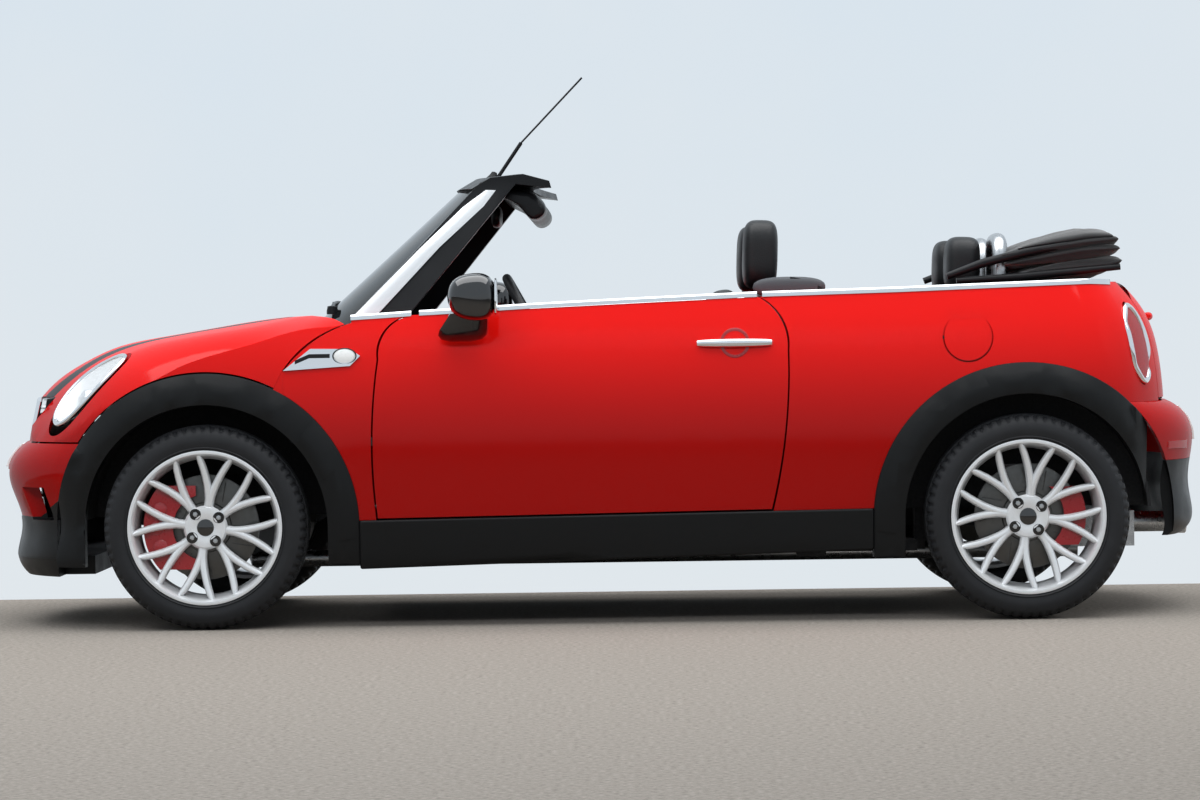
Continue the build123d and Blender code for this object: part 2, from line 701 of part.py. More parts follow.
def make_rim(axle_x, wheel_y):
    """Rim barrel, eight forked spokes, hub and brake disc."""
    face = wheel_y - hub_depth
    half = rim_width / 2
    barrel = cylinder_y(axle_x, tyre_radius, rim_barrel, wheel_y - half, wheel_y + half)
    for y in (wheel_y - half, wheel_y + half - 8):
        barrel += cylinder_y(axle_x, tyre_radius, rim_radius, y, y + 8)
    barrel -= cylinder_y(axle_x, tyre_radius, rim_barrel - 9, wheel_y - half - 1, wheel_y + half + 1)
    spoke_y0, spoke_y1 = wheel_y + spoke_back, wheel_y + spoke_front
    plate = cylinder_y(axle_x, tyre_radius, rim_barrel - 4, spoke_y0, spoke_y1)
    depth = spoke_y1 - spoke_y0 + 2
    for k in range(8):
        wide = Pos(0, 150, 0) * Rectangle(38, 110) + Pos(0, 94, 0) * Circle(19)
        fork = Pos(0, 172, 0) * Rectangle(40, 66)
        window = Rot(0, 0, 45 * k + 22.5) * wide + Rot(0, 0, 45 * k) * fork
        cut = extrude(window, amount=depth)
        plate -= Pos(axle_x, spoke_y1 + 1, tyre_radius) * Rot(90, 0, 0) * cut
    plate -= cylinder_y(axle_x, tyre_radius, 400, spoke_y0 - 5, spoke_y1 + 5) - cylinder_y(
        axle_x, tyre_radius, rim_barrel - 4, spoke_y0 - 6, spoke_y1 + 6)
    hub = cylinder_y(axle_x, tyre_radius, 70, face, spoke_y0 + 1)
    disc = cylinder_y(axle_x, tyre_radius, disc_radius, face + disc_offset, face + disc_offset + 20)
    return barrel + plate + hub + disc


def make_tyre(axle_x, wheel_y):
    """Section: radius, half width."""
    section = ((rim_barrel + 0.3, 0.40), (rim_radius + 6, 0.45), (262, 0.5), (288, 0.475), (303, 0.40),
               (tyre_radius, 0.33))
    outer = [(r, w * tyre_width) for r, w in section] + [(r, -w * tyre_width) for r, w in reversed(section)]
    points = [(r, y) for r, y in outer]
    face = make_face(Polyline([(r, y, 0) for r, y in points] + [(points[0][0], points[0][1], 0)]))
    ring = revolve(face, Axis.Y, 360)
    return Pos(axle_x, wheel_y, tyre_radius) * ring


def make_windscreen():
    """Glass between a lower and an upper arc, and its frame."""
    wires = []
    for (cx, cz, sx, sy, sz) in SCREEN_ROWS:
        bow = math.hypot(cx - sx, cz - sz)
        dx, dz = glass_thickness * (cx - sx) / bow, glass_thickness * (cz - sz) / bow
        wires.append(Wire([
            arc((sx, sy, sz), (cx, 0, cz), (sx, -sy, sz)),
            line((sx, -sy, sz), (sx - dx, -sy, sz - dz)),
            arc((sx - dx, -sy, sz - dz), (cx - dx, 0, cz - dz), (sx - dx, sy, sz - dz)),
            line((sx - dx, sy, sz - dz), (sx, sy, sz))]))
    return Solid.make_loft(wires, True)


def polygon_at(points):
    return Wire([line(points[i], points[(i + 1) % len(points)]) for i in range(len(points))])


def make_windscreen_frame():
    (sx, sy), (tx, tz, ux, uy, uz) = SCREEN_ROWS[0][2:4], SCREEN_ROWS[-1]
    base = [(sx + 10, sy + 0.5, pillar_foot_z), (sx + 2, sy + 56, pillar_foot_z),
            (sx - 160, sy + 68, pillar_foot_z), (sx - 160, sy + 20, pillar_foot_z)]
    high = uz + 20
    top = [(ux - 12, uy + 0.5, high), (ux - 20, uy + 56, high), (ux - 132, uy + 60, high),
           (ux - 132, uy + 16, high)]
    pillar = Solid.make_loft([polygon_at(base), polygon_at(top)], True)
    sections = []
    for y, dx, dz in ((-uy - 60, ux - tx, uz - tz), (0, 0, 0), (uy + 60, ux - tx, uz - tz)):
        rows = ((8, 0.3), (-50, 34), (-150, 44), (-230, 22), (-236, 0), (-120, 14), (-18, 0.3))
        sections.append(polygon_at([(tx + dx + px, y, tz + dz + pz) for px, pz in rows]))
    header = Solid.make_loft(sections)
    return header + pillar + mirror(pillar, Plane.XZ)


def make_scuttle():
    cowl = (panel_hull & under_cap) & plan_prism(bonnet_back(8), 880.3, 1300)
    cowl = cowl & block(firewall_x, front_axle_x, -cabin_half_width, cabin_half_width, 880.3, 1300)
    return cowl - glass_swath()


def glass_swath():
    cx, cz, sx = SCREEN_ROWS[0][:3]
    edges = [arc((sx + 12, 800, 0), (cx + 6, 0, 0), (sx + 12, -800, 0)),
             line((sx + 12, -800, 0), (0, -800, 0)),
             line((0, -800, 0), (0, 800, 0)), line((0, 800, 0), (sx + 12, 800, 0))]
    return plan_prism(edges, cz - 40, 1400)


def make_dashboard():
    back = firewall_x - seat_clearance
    rows = ((0, 700), (0, 880), (40, 900), (355, 940), (410, 922), (425, 870), (375, 700),
            (325, 600), (195, 560))
    points = [(back - (x - seat_clearance if x > 40 else x), 0, z) for x, z in rows]
    dash = side_prism([line(points[i], points[(i + 1) % 9]) for i in range(9)], -dash_half, dash_half)
    console = block(door_rear_x + 135, firewall_x - 335, -110, 110, floor_z + floor_thickness, 480)
    column = steering_place() * Pos(0, 0, -column_gap - 85) * Cylinder(42, 170)
    stack = block(firewall_x - 375, firewall_x - 195, -110, 110, 479, 620)
    return dash + console + stack + column


def make_steering_wheel():
    wheel = Torus(steering_radius, 15)
    for k in (0, 120, 240):
        wheel += Rot(0, 0, 180 + k) * Pos(steering_radius / 2, 0, 0) * Box(steering_radius - 10, 36, 14)
    wheel += Cylinder(58, 30)
    shaft = column_gap - seat_clearance
    wheel += Pos(0, 0, -shaft / 2) * Cylinder(20, shaft)
    return steering_place() * wheel


def steering_place():
    """From the steering wheel's own frame, its axis towards the driver, to the car."""
    return Pos(*steering_centre) * Rot(0, -90 + steering_tilt, 0)


def seat(x_front, x_back, y, width, base_z, cushion_z, back_x, back_top_z, head_z):
    cushion = block(x_back, x_front, y - width / 2, y + width / 2, base_z, cushion_z)
    a, b = (x_back + 60, 0, cushion_z - 20), (back_x + 30, 0, back_top_z)
    c, d = (back_x - 90, 0, back_top_z), (x_back - 60, 0, base_z)
    back = side_prism([line(a, b), line(b, c), line(c, d), line(d, a)], y - width / 2, y + width / 2)
    e = back_x - 30
    head = block(e - 46, e + 46, y - 130, y + 130, back_top_z + 26, head_z)
    posts = [Pos(e, y + dy, back_top_z + 20) * Cylinder(7, 60) for dy in (-60, 60)]
    return cushion + back + head + posts[0] + posts[1]


def make_front_seats():
    s = seat(door_rear_x + 655, door_rear_x + 155, seat_y, 480, floor_z + floor_thickness, 560,
             door_rear_x + 95, 1010, 1214)
    return both(s)


def make_rear_bench():
    b = seat(rear_floor_x + 260, rear_floor_x - 100, 270, 480, floor_z + floor_thickness, 560,
             rear_floor_x - 120, 940, 1158)
    left = b + mirror(b, Plane.XZ)
    bridge = block(rear_floor_x - 100, rear_floor_x + 240, -40, 40, 300, 520)
    step = block(tail_x, rear_floor_x + seat_clearance, -cabin_half_width, cabin_half_width, 0,
                 boot_floor_z + floor_thickness + seat_clearance)
    return left + bridge - step


def make_rollover():
    hoops = []
    height = roll_top_z - deck_z
    for y in (roll_y, -roll_y):
        hoop = Pos(rollover_x, y, roll_top_z) * Rot(90, 0, 0) * Cylinder(roll_radius, 2 * roll_half)
        for dy in (-roll_half, roll_half):
            hoop += Pos(rollover_x, y + dy, deck_z + height / 2) * Cylinder(roll_radius, height)
            hoop += Pos(rollover_x, y + dy, roll_top_z) * Sphere(roll_radius)
        hoops += hoop.solids()
    return Compound(hoops)


def make_soft_top():
    base = deck_z + seat_clearance
    rows = ((-24, base), (-24, 1120), (-116, 1153), (-254, 1181), (-314, 1174), (-332, 1130), (-344, 1076),
            (-314, base))
    stack = side_outline([(rear_axle_x + x, z) for x, z in rows], -top_half, top_half)
    rows = ((216, base + 39.7), (22, 1118), (-34, 1130), (-34, base), (22, base))
    arm = side_outline([(rear_axle_x + x, z) for x, z in rows], top_half - 55, top_half)
    return stack + arm + mirror(arm, Plane.XZ)


def side_outline(points, y0, y1):
    """A side view outline of straight lines, from y0 to y1."""
    places = [(x, 0, z) for x, z in points]
    return side_prism([line(a, b) for a, b in zip(places, places[1:] + places[:1])], y0, y1)


def make_side_trims():
    trim = block(rear_floor_x + 2, door_rear_x - 12, cabin_half_width - 60, cabin_half_width, 560, 994)
    trim = trim & wall_hull
    back, front = door_rear_x - 117, door_rear_x + 95
    low = belt_z(back) + seat_clearance
    hump = side_prism([line((back, 0, low), (front, 0, low)), line((front, 0, low), (front, 0, 1030)),
                       arc((front, 0, 1030), (front - 80, 0, 1040), (back, 0, low + 15)),
                       line((back, 0, low + 15), (back, 0, low))],
                      cabin_half_width - 58, cabin_half_width)
    hump = hump & block(back - 8, door_rear_x - 12, 0, 1000, 0, 1300)
    return both(trim + hump)


def rod(start, end, radius):
    direction = Vector(*end) - Vector(*start)
    foot = Plane(origin=start, z_dir=direction.normalized())
    return extrude(foot * Circle(radius), amount=direction.length)


def make_antenna(frame):
    """Rod aerial on the header, leaning back."""
    foot = (firewall_x - 425, 0, 1350)
    mid, tip = (firewall_x - 518, 0, 1485), (firewall_x - 714, 0, 1689)
    base = Pos(*foot) * Cylinder(17, 40)
    return (base + rod(foot, mid, 6) + rod(mid, tip, 3)) - frame


def make_brightwork():
    """Belt strips along the rear quarters."""
    front, rear = door_rear_x + 87 - shut_gap, belt_rear_x
    mid = (front + rear) / 2
    top = [(x, 0, belt_z(x) + 12) for x in (front, mid, rear)]
    low = [(x, 0, belt_z(x) + seat_clearance) for x in (front, mid, rear)]
    strip = side_prism([arc(*top), line(top[2], low[2]), arc(low[2], low[1], low[0]), line(low[0], top[0])],
                       half_width - 95, half_width - 62)
    return both(strip)


def make_side_lamps():
    """Lozenge bezels with a round lamp, on the side panels ahead of the doors."""
    shell = shell_loft(BODY_LEVELS, bezel_height) - body_hull
    rows = ((240, 775), (322, 840), (442, 838), (472, 817), (441, 787))
    bezel = side_outline([(front_axle_x - x, z) for x, z in rows], half_width - 56, half_width + 100)
    return both(bezel & shell)


def make_door_fittings():
    """Mirror on its foot, belt strip and handle."""
    x, y = door_front_x - mirror_reach, half_width
    foot = block(x - 15, x + 75, y - 51, y + 34, belt_z(x - 15) - 12, 962)
    neck = block(x - 15, x + 30, y + 4, y + 54, 950, 975)
    cap = Pos(x, y + 84, 998) * Box(130, 190, 118)
    mirror_body = foot + neck + cap
    shell = shell_loft(BODY_LEVELS, handle_height) - body_hull
    handle = shell & block(door_rear_x + 60, door_rear_x + 270, y - 56, y + 100, 830, 852)
    mirror_body = mirror_body - aft_body
    return Compound(list(mirror_body.solids()) + list(handle.solids()))


def make_exhaust():
    """Pipe under the floor, silencer and tail pipe."""
    z = floor_z - 26 - seat_clearance
    front, rear = front_axle_x - 81, rear_axle_x - 214
    pipe = Pos((front + rear) / 2, 120, z) * Rot(0, 90, 0) * Cylinder(26, front - rear)
    box = block(tail_x + 200, tail_x + 400, -220, 260, 190, 300)
    tail = Pos(tail_x + 130, tail_pipe_y, tail_pipe_z) * Rot(0, 90, 0) * Cylinder(tail_pipe_radius, 200)
    return pipe + box + tail


def half(shape, side):
    return shape if side > 0 else mirror(shape, Plane.XZ)


# Write every piece
glass = make_windscreen()
frame = make_windscreen_frame()
door = make_door() - door_hinge()
pieces = {
    "bonnet": make_bonnet(),
    "scuttle_panels": make_scuttle_panels(),
    "quarter_panels": make_quarter_panels(),
    "fuel_flap": make_fuel_flap(),
    "tailgate": make_tailgate(),
    "rear_deck": make_rear_deck(),
    "tail_lamps": make_tail_lamps(),
    "headlamps": make_headlamps(),
    "front_bumper": make_front_bumper(),
    "front_valance": make_front_valance(),
    "rear_bumper": make_rear_bumper(),
    "rear_valance": make_rear_valance(),
    "grille": make_grille(),
    "arch_trims_front": make_arch_trims(front_axle_x),
    "arch_trims_rear": make_arch_trims(rear_axle_x),
    "sills": make_sills(),
    "floor_pan": make_floor_pan(),
    "firewall": make_firewall(),
    "front_rails": make_front_rails(),
    "wheelhouses": make_wheelhouses(),
    "engine_block": make_engine(),
    "subframes": make_subframes(),
    "exhaust": make_exhaust(),
    "windscreen": glass,
    "windscreen_frame": frame,
    "scuttle": make_scuttle(),
    "dashboard": make_dashboard(),
    "steering_wheel": make_steering_wheel(),
    "front_seats": make_front_seats(),
    "rear_bench": make_rear_bench(),
    "rollover_bars": make_rollover(),
    "soft_top": make_soft_top(),
    "side_trims": make_side_trims(),
    "antenna": make_antenna(frame),
    "belt_strips": make_brightwork(),
    "side_lamps": make_side_lamps(),
    "hinge_pins": make_hinges(),
    "bonnet_buffers": make_bonnet_buffers(),
}
fittings = make_door_fittings()
for name, side in (("left", 1), ("right", -1)):
    pieces["door_" + name] = half(door, side)
    pieces["door_fittings_" + name] = half(fittings, side)
    pieces["knuckle_" + name] = half(make_knuckle(), side)
    caliper = make_caliper(front_axle_x, front_wheel_y, 1, caliper_inner, 188, 42)
    pieces["caliper_front_" + name] = half(caliper, side)
pieces["calipers_rear"] = both(make_caliper(rear_axle_x, rear_wheel_y, -1, caliper_inner_rear, 175, 30))
for end, x, y in (("front", front_axle_x, front_wheel_y), ("rear", rear_axle_x, rear_wheel_y)):
    rim = make_rim(x, y)
    tyre = make_tyre(x, y)
    for name, side in (("left", 1), ("right", -1)):
        pieces["rim_" + end + "_" + name] = half(rim, side)
        pieces["tyre_" + end + "_" + name] = half(tyre, side)

for name, piece in pieces.items():
    export_step(piece if isinstance(piece, Compound) else Compound([piece]), "parts/" + name + ".step")
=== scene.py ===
import json
import math
import random
import bmesh
import bpy
from mathutils import Matrix, Vector
from mathutils.bvhtree import BVHTree


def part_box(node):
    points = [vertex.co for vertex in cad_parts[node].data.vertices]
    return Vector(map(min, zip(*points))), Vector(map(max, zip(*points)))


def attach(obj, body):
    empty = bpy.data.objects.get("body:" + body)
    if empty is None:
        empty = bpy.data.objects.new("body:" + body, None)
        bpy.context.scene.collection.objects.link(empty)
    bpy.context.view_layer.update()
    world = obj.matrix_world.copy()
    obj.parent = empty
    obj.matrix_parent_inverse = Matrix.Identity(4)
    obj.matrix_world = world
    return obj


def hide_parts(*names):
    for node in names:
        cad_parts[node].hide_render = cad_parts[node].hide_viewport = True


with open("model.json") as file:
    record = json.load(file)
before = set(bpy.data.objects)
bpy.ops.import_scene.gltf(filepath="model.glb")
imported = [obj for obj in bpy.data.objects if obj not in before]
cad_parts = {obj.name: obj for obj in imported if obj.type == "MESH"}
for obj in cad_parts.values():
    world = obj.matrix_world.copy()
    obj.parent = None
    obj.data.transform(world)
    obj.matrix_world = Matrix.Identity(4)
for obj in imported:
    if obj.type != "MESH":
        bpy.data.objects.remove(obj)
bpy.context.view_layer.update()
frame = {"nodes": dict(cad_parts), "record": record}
nodes = frame["nodes"]
random.seed(7)

# main places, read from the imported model
frontTyreLow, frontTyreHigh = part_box("tyre_front_left")
rearTyreLow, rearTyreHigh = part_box("tyre_rear_left")
wheelHeight = (frontTyreLow[2] + frontTyreHigh[2]) / 2
frontAxleX = (frontTyreLow[0] + frontTyreHigh[0]) / 2
rearAxleX = (rearTyreLow[0] + rearTyreHigh[0]) / 2
frontWheelY = (frontTyreLow[1] + frontTyreHigh[1]) / 2
rearWheelY = (rearTyreLow[1] + rearTyreHigh[1]) / 2


def toLinear(hexText):
    # one place where sRGB hex becomes the linear colour a shader wants
    values = [int(hexText[i:i + 2], 16) / 255 for i in (1, 3, 5)]
    return [v / 12.92 if v <= 0.04045 else ((v + 0.055) / 1.055) ** 2.4 for v in values] + [1.0]


def addNode(tree, kind, links=None, inputs=None, **settings):
    node = tree.nodes.new(kind)
    for key, value in settings.items():
        setattr(node, key, value)
    for key, value in (inputs or {}).items():
        node.inputs[key].default_value = value
    for key, source in (links or {}).items():
        tree.links.new(source, node.inputs[key])
    return node


def newMaterial(name, color, roughness, metallic=0.0, **sockets):
    material = bpy.data.materials.new(name)
    material.use_nodes = True
    tree = material.node_tree
    shader = tree.nodes["Principled BSDF"]
    shader.inputs["Base Color"].default_value = toLinear(color)
    shader.inputs["Roughness"].default_value = roughness
    shader.inputs["Metallic"].default_value = metallic
    for key, value in sockets.items():
        shader.inputs[key.replace("_", " ")].default_value = value
    coords = addNode(tree, "ShaderNodeTexCoord")
    return material, tree, shader, coords.outputs["Object"]


def addBump(tree, shader, height, strength, distance):
    bump = addNode(tree, "ShaderNodeBump", {"Height": height}, {"Strength": strength, "Distance": distance})
    tree.links.new(bump.outputs["Normal"], shader.inputs["Normal"])


def varyRoughness(tree, shader, coords, scale, low, high):
    noise = addNode(tree, "ShaderNodeTexNoise", {"Vector": coords}, {"Scale": scale, "Detail": 4.0})
    spread = addNode(tree, "ShaderNodeMapRange", {"Value": noise.outputs["Fac"]},
                     {"From Min": 0.35, "From Max": 0.65, "To Min": low, "To Max": high})
    tree.links.new(spread.outputs["Result"], shader.inputs["Roughness"])
    return noise


def mixColors(tree, factor, colorA, colorB):
    mix = addNode(tree, "ShaderNodeMix", {"Factor": factor}, data_type="RGBA")
    mix.inputs["A"].default_value = toLinear(colorA)
    mix.inputs["B"].default_value = toLinear(colorB)
    return mix.outputs["Result"]


# lacquer colours: the lit red, a darker red painted low on the body as painted shade, and the stripe black
lacquer = {"color": "#E0120D", "low": "#980705", "stripe": "#0B0B0C"}


def paintedSteel(name):
    # two-coat car paint: deep colour under a clear lacquer, with the faint orange peel of sprayed lacquer;
    # the base colour is painted darker towards the sills and brighter high up: painted shade low down, where
    # less light reaches the side
    material, tree, shader, coords = newMaterial(name, lacquer["color"], 0.42, Coat_Weight=0.35,
                                                 Coat_Roughness=0.1, Coat_IOR=1.5, Specular_IOR_Level=0.0)
    height = addNode(tree, "ShaderNodeSeparateXYZ", {"Vector": coords})
    # painted shade: the ramp over height that turns the low, shaded red into the lit red
    rise = addNode(tree, "ShaderNodeMapRange", {"Value": height.outputs["Z"]},
                   {"From Min": 0.48, "From Max": 0.94, "To Min": 0.0, "To Max": 0.95},
                   interpolation_type="SMOOTHSTEP")
    tone = mixColors(tree, rise.outputs["Result"], lacquer["low"], lacquer["color"])
    tree.links.new(tone, shader.inputs["Base Color"])
    peel = addNode(tree, "ShaderNodeTexNoise", {"Vector": coords}, {"Scale": 260.0, "Detail": 1.0})
    addBump(tree, shader, peel.outputs["Fac"], 0.02, 0.0004)
    return material, tree, shader, coords, tone


stripeSizes = {"fromMiddle": 0.31, "half": 0.062}


def stripedPaint():
    # the same lacquer, with its painted shade, and the bonnet's two black stripes
    material, tree, shader, coords, tone = paintedSteel("sprayedRedLacquerWithStripes")
    side = addNode(tree, "ShaderNodeSeparateXYZ", {"Vector": coords})
    width = addNode(tree, "ShaderNodeMath", {0: side.outputs["Y"]}, operation="ABSOLUTE")
    centre = addNode(tree, "ShaderNodeMath", {0: width.outputs[0]}, {1: stripeSizes["fromMiddle"]},
                     operation="SUBTRACT")
    off = addNode(tree, "ShaderNodeMath", {0: centre.outputs[0]}, operation="ABSOLUTE")
    inside = addNode(tree, "ShaderNodeMath", {0: off.outputs[0]}, {1: stripeSizes["half"]},
                     operation="LESS_THAN")
    mix = addNode(tree, "ShaderNodeMix", {"Factor": inside.outputs[0], "A": tone}, data_type="RGBA")
    mix.inputs["B"].default_value = toLinear(lacquer["stripe"])
    tree.links.new(mix.outputs["Result"], shader.inputs["Base Color"])
    return material


def grainedPlastic(name, color, roughness, grain):
    # moulded polypropylene: a fine pebbled grain that dulls the highlight
    material, tree, shader, coords = newMaterial(name, color, roughness, Specular_IOR_Level=0.2)
    cells = addNode(tree, "ShaderNodeTexVoronoi", {"Vector": coords}, {"Scale": grain}, feature="SMOOTH_F1")
    addBump(tree, shader, cells.outputs["Distance"], 0.25, 0.0006)
    varyRoughness(tree, shader, coords, 9.0, roughness - 0.05, roughness + 0.07)
    return material


def polishedChrome():
    # plated trim: a bright mirror with a trace of haze
    material, tree, shader, coords = newMaterial("platedChrome", "#E4E6E8", 0.07, 1.0)
    varyRoughness(tree, shader, coords, 30.0, 0.05, 0.11)
    return material


def metalFinish(name, color, roughness):
    # brushed or cast metal: a fine unevenness that breaks up its highlight
    material, tree, shader, coords = newMaterial(name, color, roughness, 1.0)
    noise = varyRoughness(tree, shader, coords, 60.0, roughness - 0.06, roughness + 0.08)
    addBump(tree, shader, noise.outputs["Fac"], 0.06, 0.0005)
    return material


def wheelSilver():
    # cast aluminium under silver paint and lacquer: metal flakes read as a soft sparkle
    material, tree, shader, coords = newMaterial("silverPaintedAlloy", "#D8DADC", 0.35, 0.35, Coat_Weight=0.6,
                                                 Coat_Roughness=0.08)
    flakes = addNode(tree, "ShaderNodeTexVoronoi", {"Vector": coords}, {"Scale": 900.0})
    tone = mixColors(tree, flakes.outputs["Distance"], "#D2D5D8", "#E6E8EA")
    tree.links.new(tone, shader.inputs["Base Color"])
    return material


def turnedSteelWithPaintedShade():
    # brake disc: concentric scoring from the pads, on dark steel: partly the disc's own dull colour and
    # partly painted shade of the wheel around it
    material, tree, shader, coords = newMaterial("turnedSteelWithPaintedShade", "#5A5957", 0.4, 1.0)
    rings = addNode(tree, "ShaderNodeTexNoise", {"Vector": coords}, {"Scale": 45.0, "Detail": 5.0})
    addBump(tree, shader, rings.outputs["Fac"], 0.1, 0.0006)
    varyRoughness(tree, shader, coords, 80.0, 0.34, 0.48)
    return material


def tyreRubber():
    # vulcanised rubber: nearly black, dusty where it meets the road
    material, tree, shader, coords = newMaterial("vulcanisedRubber", "#17181A", 0.62, Specular_IOR_Level=0.35)
    noise = addNode(tree, "ShaderNodeTexNoise", {"Vector": coords}, {"Scale": 24.0, "Detail": 6.0})
    tone = mixColors(tree, noise.outputs["Fac"], "#131416", "#212225")
    tree.links.new(tone, shader.inputs["Base Color"])
    grit = addNode(tree, "ShaderNodeTexNoise", {"Vector": coords}, {"Scale": 420.0, "Detail": 2.0})
    addBump(tree, shader, grit.outputs["Fac"], 0.12, 0.0006)
    return material


def clearGlass(name, color, alpha, roughness=0.02, level=0.5):
    # laminated glass: mostly see-through, bright at a glancing angle
    material, tree, shader, coords = newMaterial(name, color, roughness, Alpha=alpha, IOR=1.5,
                                                 Specular_IOR_Level=level)
    varyRoughness(tree, shader, coords, 5.0, roughness, roughness + 0.03)
    return material


def screenFilm(material):
    # a tinted screen is nearly opaque seen along it and clear seen through it
    tree = material.node_tree
    facing = addNode(tree, "ShaderNodeLayerWeight", inputs={"Blend": 0.5})
    opacity = addNode(tree, "ShaderNodeMapRange", {"Value": facing.outputs["Facing"]},
                      {"From Min": 0.35, "From Max": 0.85, "To Min": 0.45, "To Max": 0.96})
    tree.links.new(opacity.outputs["Result"], tree.nodes["Principled BSDF"].inputs["Alpha"])


def seatLeather():
    # grained leather: small pebbles with finer creases between them
    material, tree, shader, coords = newMaterial("grainedBlackLeather", "#121315", 0.5,
                                                 Specular_IOR_Level=0.4)
    pebbles = addNode(tree, "ShaderNodeTexVoronoi", {"Vector": coords}, {"Scale": 230.0}, feature="SMOOTH_F1")
    creases = addNode(tree, "ShaderNodeTexNoise", {"Vector": coords}, {"Scale": 30.0, "Detail": 5.0})
    both = addNode(tree, "ShaderNodeMath", {0: pebbles.outputs["Distance"], 1: creases.outputs["Fac"]},
                   operation="ADD")
    addBump(tree, shader, both.outputs[0], 0.35, 0.0012)
    varyRoughness(tree, shader, coords, 12.0, 0.42, 0.56)
    return material


def roofCloth():
    # woven acrylic hood cloth: a fine twill, drawn at 3 mm so that it shows
    material, tree, shader, coords = newMaterial("wovenHoodCloth", "#141518", 0.88, Sheen_Weight=0.35,
                                                 Sheen_Roughness=0.5)
    warp = addNode(tree, "ShaderNodeTexWave", {"Vector": coords}, {"Scale": 105.0, "Distortion": 0.4},
                   bands_direction="DIAGONAL")
    weft = addNode(tree, "ShaderNodeTexWave", {"Vector": coords}, {"Scale": 105.0, "Distortion": 0.4},
                   bands_direction="Y")
    weave = addNode(tree, "ShaderNodeMath", {0: warp.outputs["Fac"], 1: weft.outputs["Fac"]},
                    operation="MULTIPLY")
    tone = mixColors(tree, weave.outputs[0], "#0B0C0E", "#16181B")
    tree.links.new(tone, shader.inputs["Base Color"])
    addBump(tree, shader, weave.outputs[0], 0.4, 0.0008)
    return material


def flatFinish(name, color, roughness, scale=40.0, **sockets):
    # sprayed, cast or moulded surfaces with no pattern but a slight unevenness
    material, tree, shader, coords = newMaterial(name, color, roughness, **sockets)
    noise = varyRoughness(tree, shader, coords, scale, roughness - 0.05, roughness + 0.08)
    addBump(tree, shader, noise.outputs["Fac"], 0.05, 0.0005)
    return material


red = paintedSteel("sprayedRedLacquer")[0]
redStriped = stripedPaint()
trimPlastic = grainedPlastic("mouldedBlackPolypropylene", "#0F1011", 0.42, 700.0)
smoothPlastic = grainedPlastic("mouldedBlackAbs", "#151618", 0.34, 1400.0)
cabinPlastic = grainedPlastic("slushMouldedDashSkin", "#1B1C1E", 0.55, 420.0)
greyPlastic = grainedPlastic("mouldedGreyAbs", "#4A4C50", 0.5, 700.0)
glossBlack = flatFinish("pianoBlackLacquer", "#08080A", 0.08, Coat_Weight=1.0)
underseal = flatFinish("sprayedUnderseal", "#141416", 0.78, 120.0)
castIron = flatFinish("sandCastIron", "#3A3A3B", 0.7, 160.0, Metallic=0.6)
chrome = polishedChrome()
satinSteel = metalFinish("satinStainlessSteel", "#B9BBBD", 0.3)
# silver for the strip up the screen pillar: a painted highlight where the glossy black pillar trim catches
# the sky
pillarHighlightSilver = newMaterial("silverStripAsPaintedHighlight", "#DCDEE0", 0.3, 0.6)[0]
alloy = wheelSilver()
discSteelWithPaintedShade = turnedSteelWithPaintedShade()
tyreMaterial = tyreRubber()
screenGlass = clearGlass("laminatedScreenGlass", "#0E1213", 0.8, level=0.08)
lensGlass = clearGlass("clearPolycarbonateLens", "#F4F6F8", 0.14)
redLens = clearGlass("redAcrylicLens", "#B1060C", 0.72, 0.05)
leather = seatLeather()
hoodCloth = roofCloth()
caliperRed = flatFinish("enamelledRedCaliper", "#8E0612", 0.3, 60.0, Coat_Weight=0.6)
whiteLens = flatFinish("opalAcrylic", "#EDEFEF", 0.25)
reflector = newMaterial("aluminisedReflector", "#E9EBEC", 0.22, 0.5)[0]
screenFilm(screenGlass)
print("materials done")

cadFinish = {
    red: ("scuttle_panels", "door_left", "door_right", "quarter_panels", "fuel_flap", "tailgate",
          "front_bumper", "rear_bumper"),
    redStriped: ("bonnet",),
    trimPlastic: ("arch_trims_front", "arch_trims_rear", "sills", "front_valance", "rear_valance"),
    smoothPlastic: ("scuttle", "grille", "windscreen_frame", "antenna"),
    underseal: ("floor_pan", "firewall", "front_rails", "rear_deck", "hinge_pins", "wheelhouses"),
    castIron: ("engine_block", "subframes", "knuckle_left", "knuckle_right"),
    satinSteel: ("exhaust", "rollover_bars"),
    chrome: ("belt_strips", "side_lamps", "headlamps"),
    screenGlass: ("windscreen",),
    redLens: ("tail_lamps",),
    cabinPlastic: ("dashboard", "steering_wheel", "side_trims"),
    glossBlack: ("door_fittings_left", "door_fittings_right", "bonnet_buffers"),
    leather: ("front_seats", "rear_bench"),
    hoodCloth: ("soft_top",),
    caliperRed: ("caliper_front_left", "caliper_front_right", "calipers_rear"),
}
for end in ("front", "rear"):
    for side in ("left", "right"):
        cadFinish[alloy] = cadFinish.get(alloy, ()) + ("rim_" + end + "_" + side,)
        cadFinish[tyreMaterial] = cadFinish.get(tyreMaterial, ()) + ("tyre_" + end + "_" + side,)
for material, names in cadFinish.items():
    for name in names:
        nodes[name].data.materials.clear()
        nodes[name].data.materials.append(material)


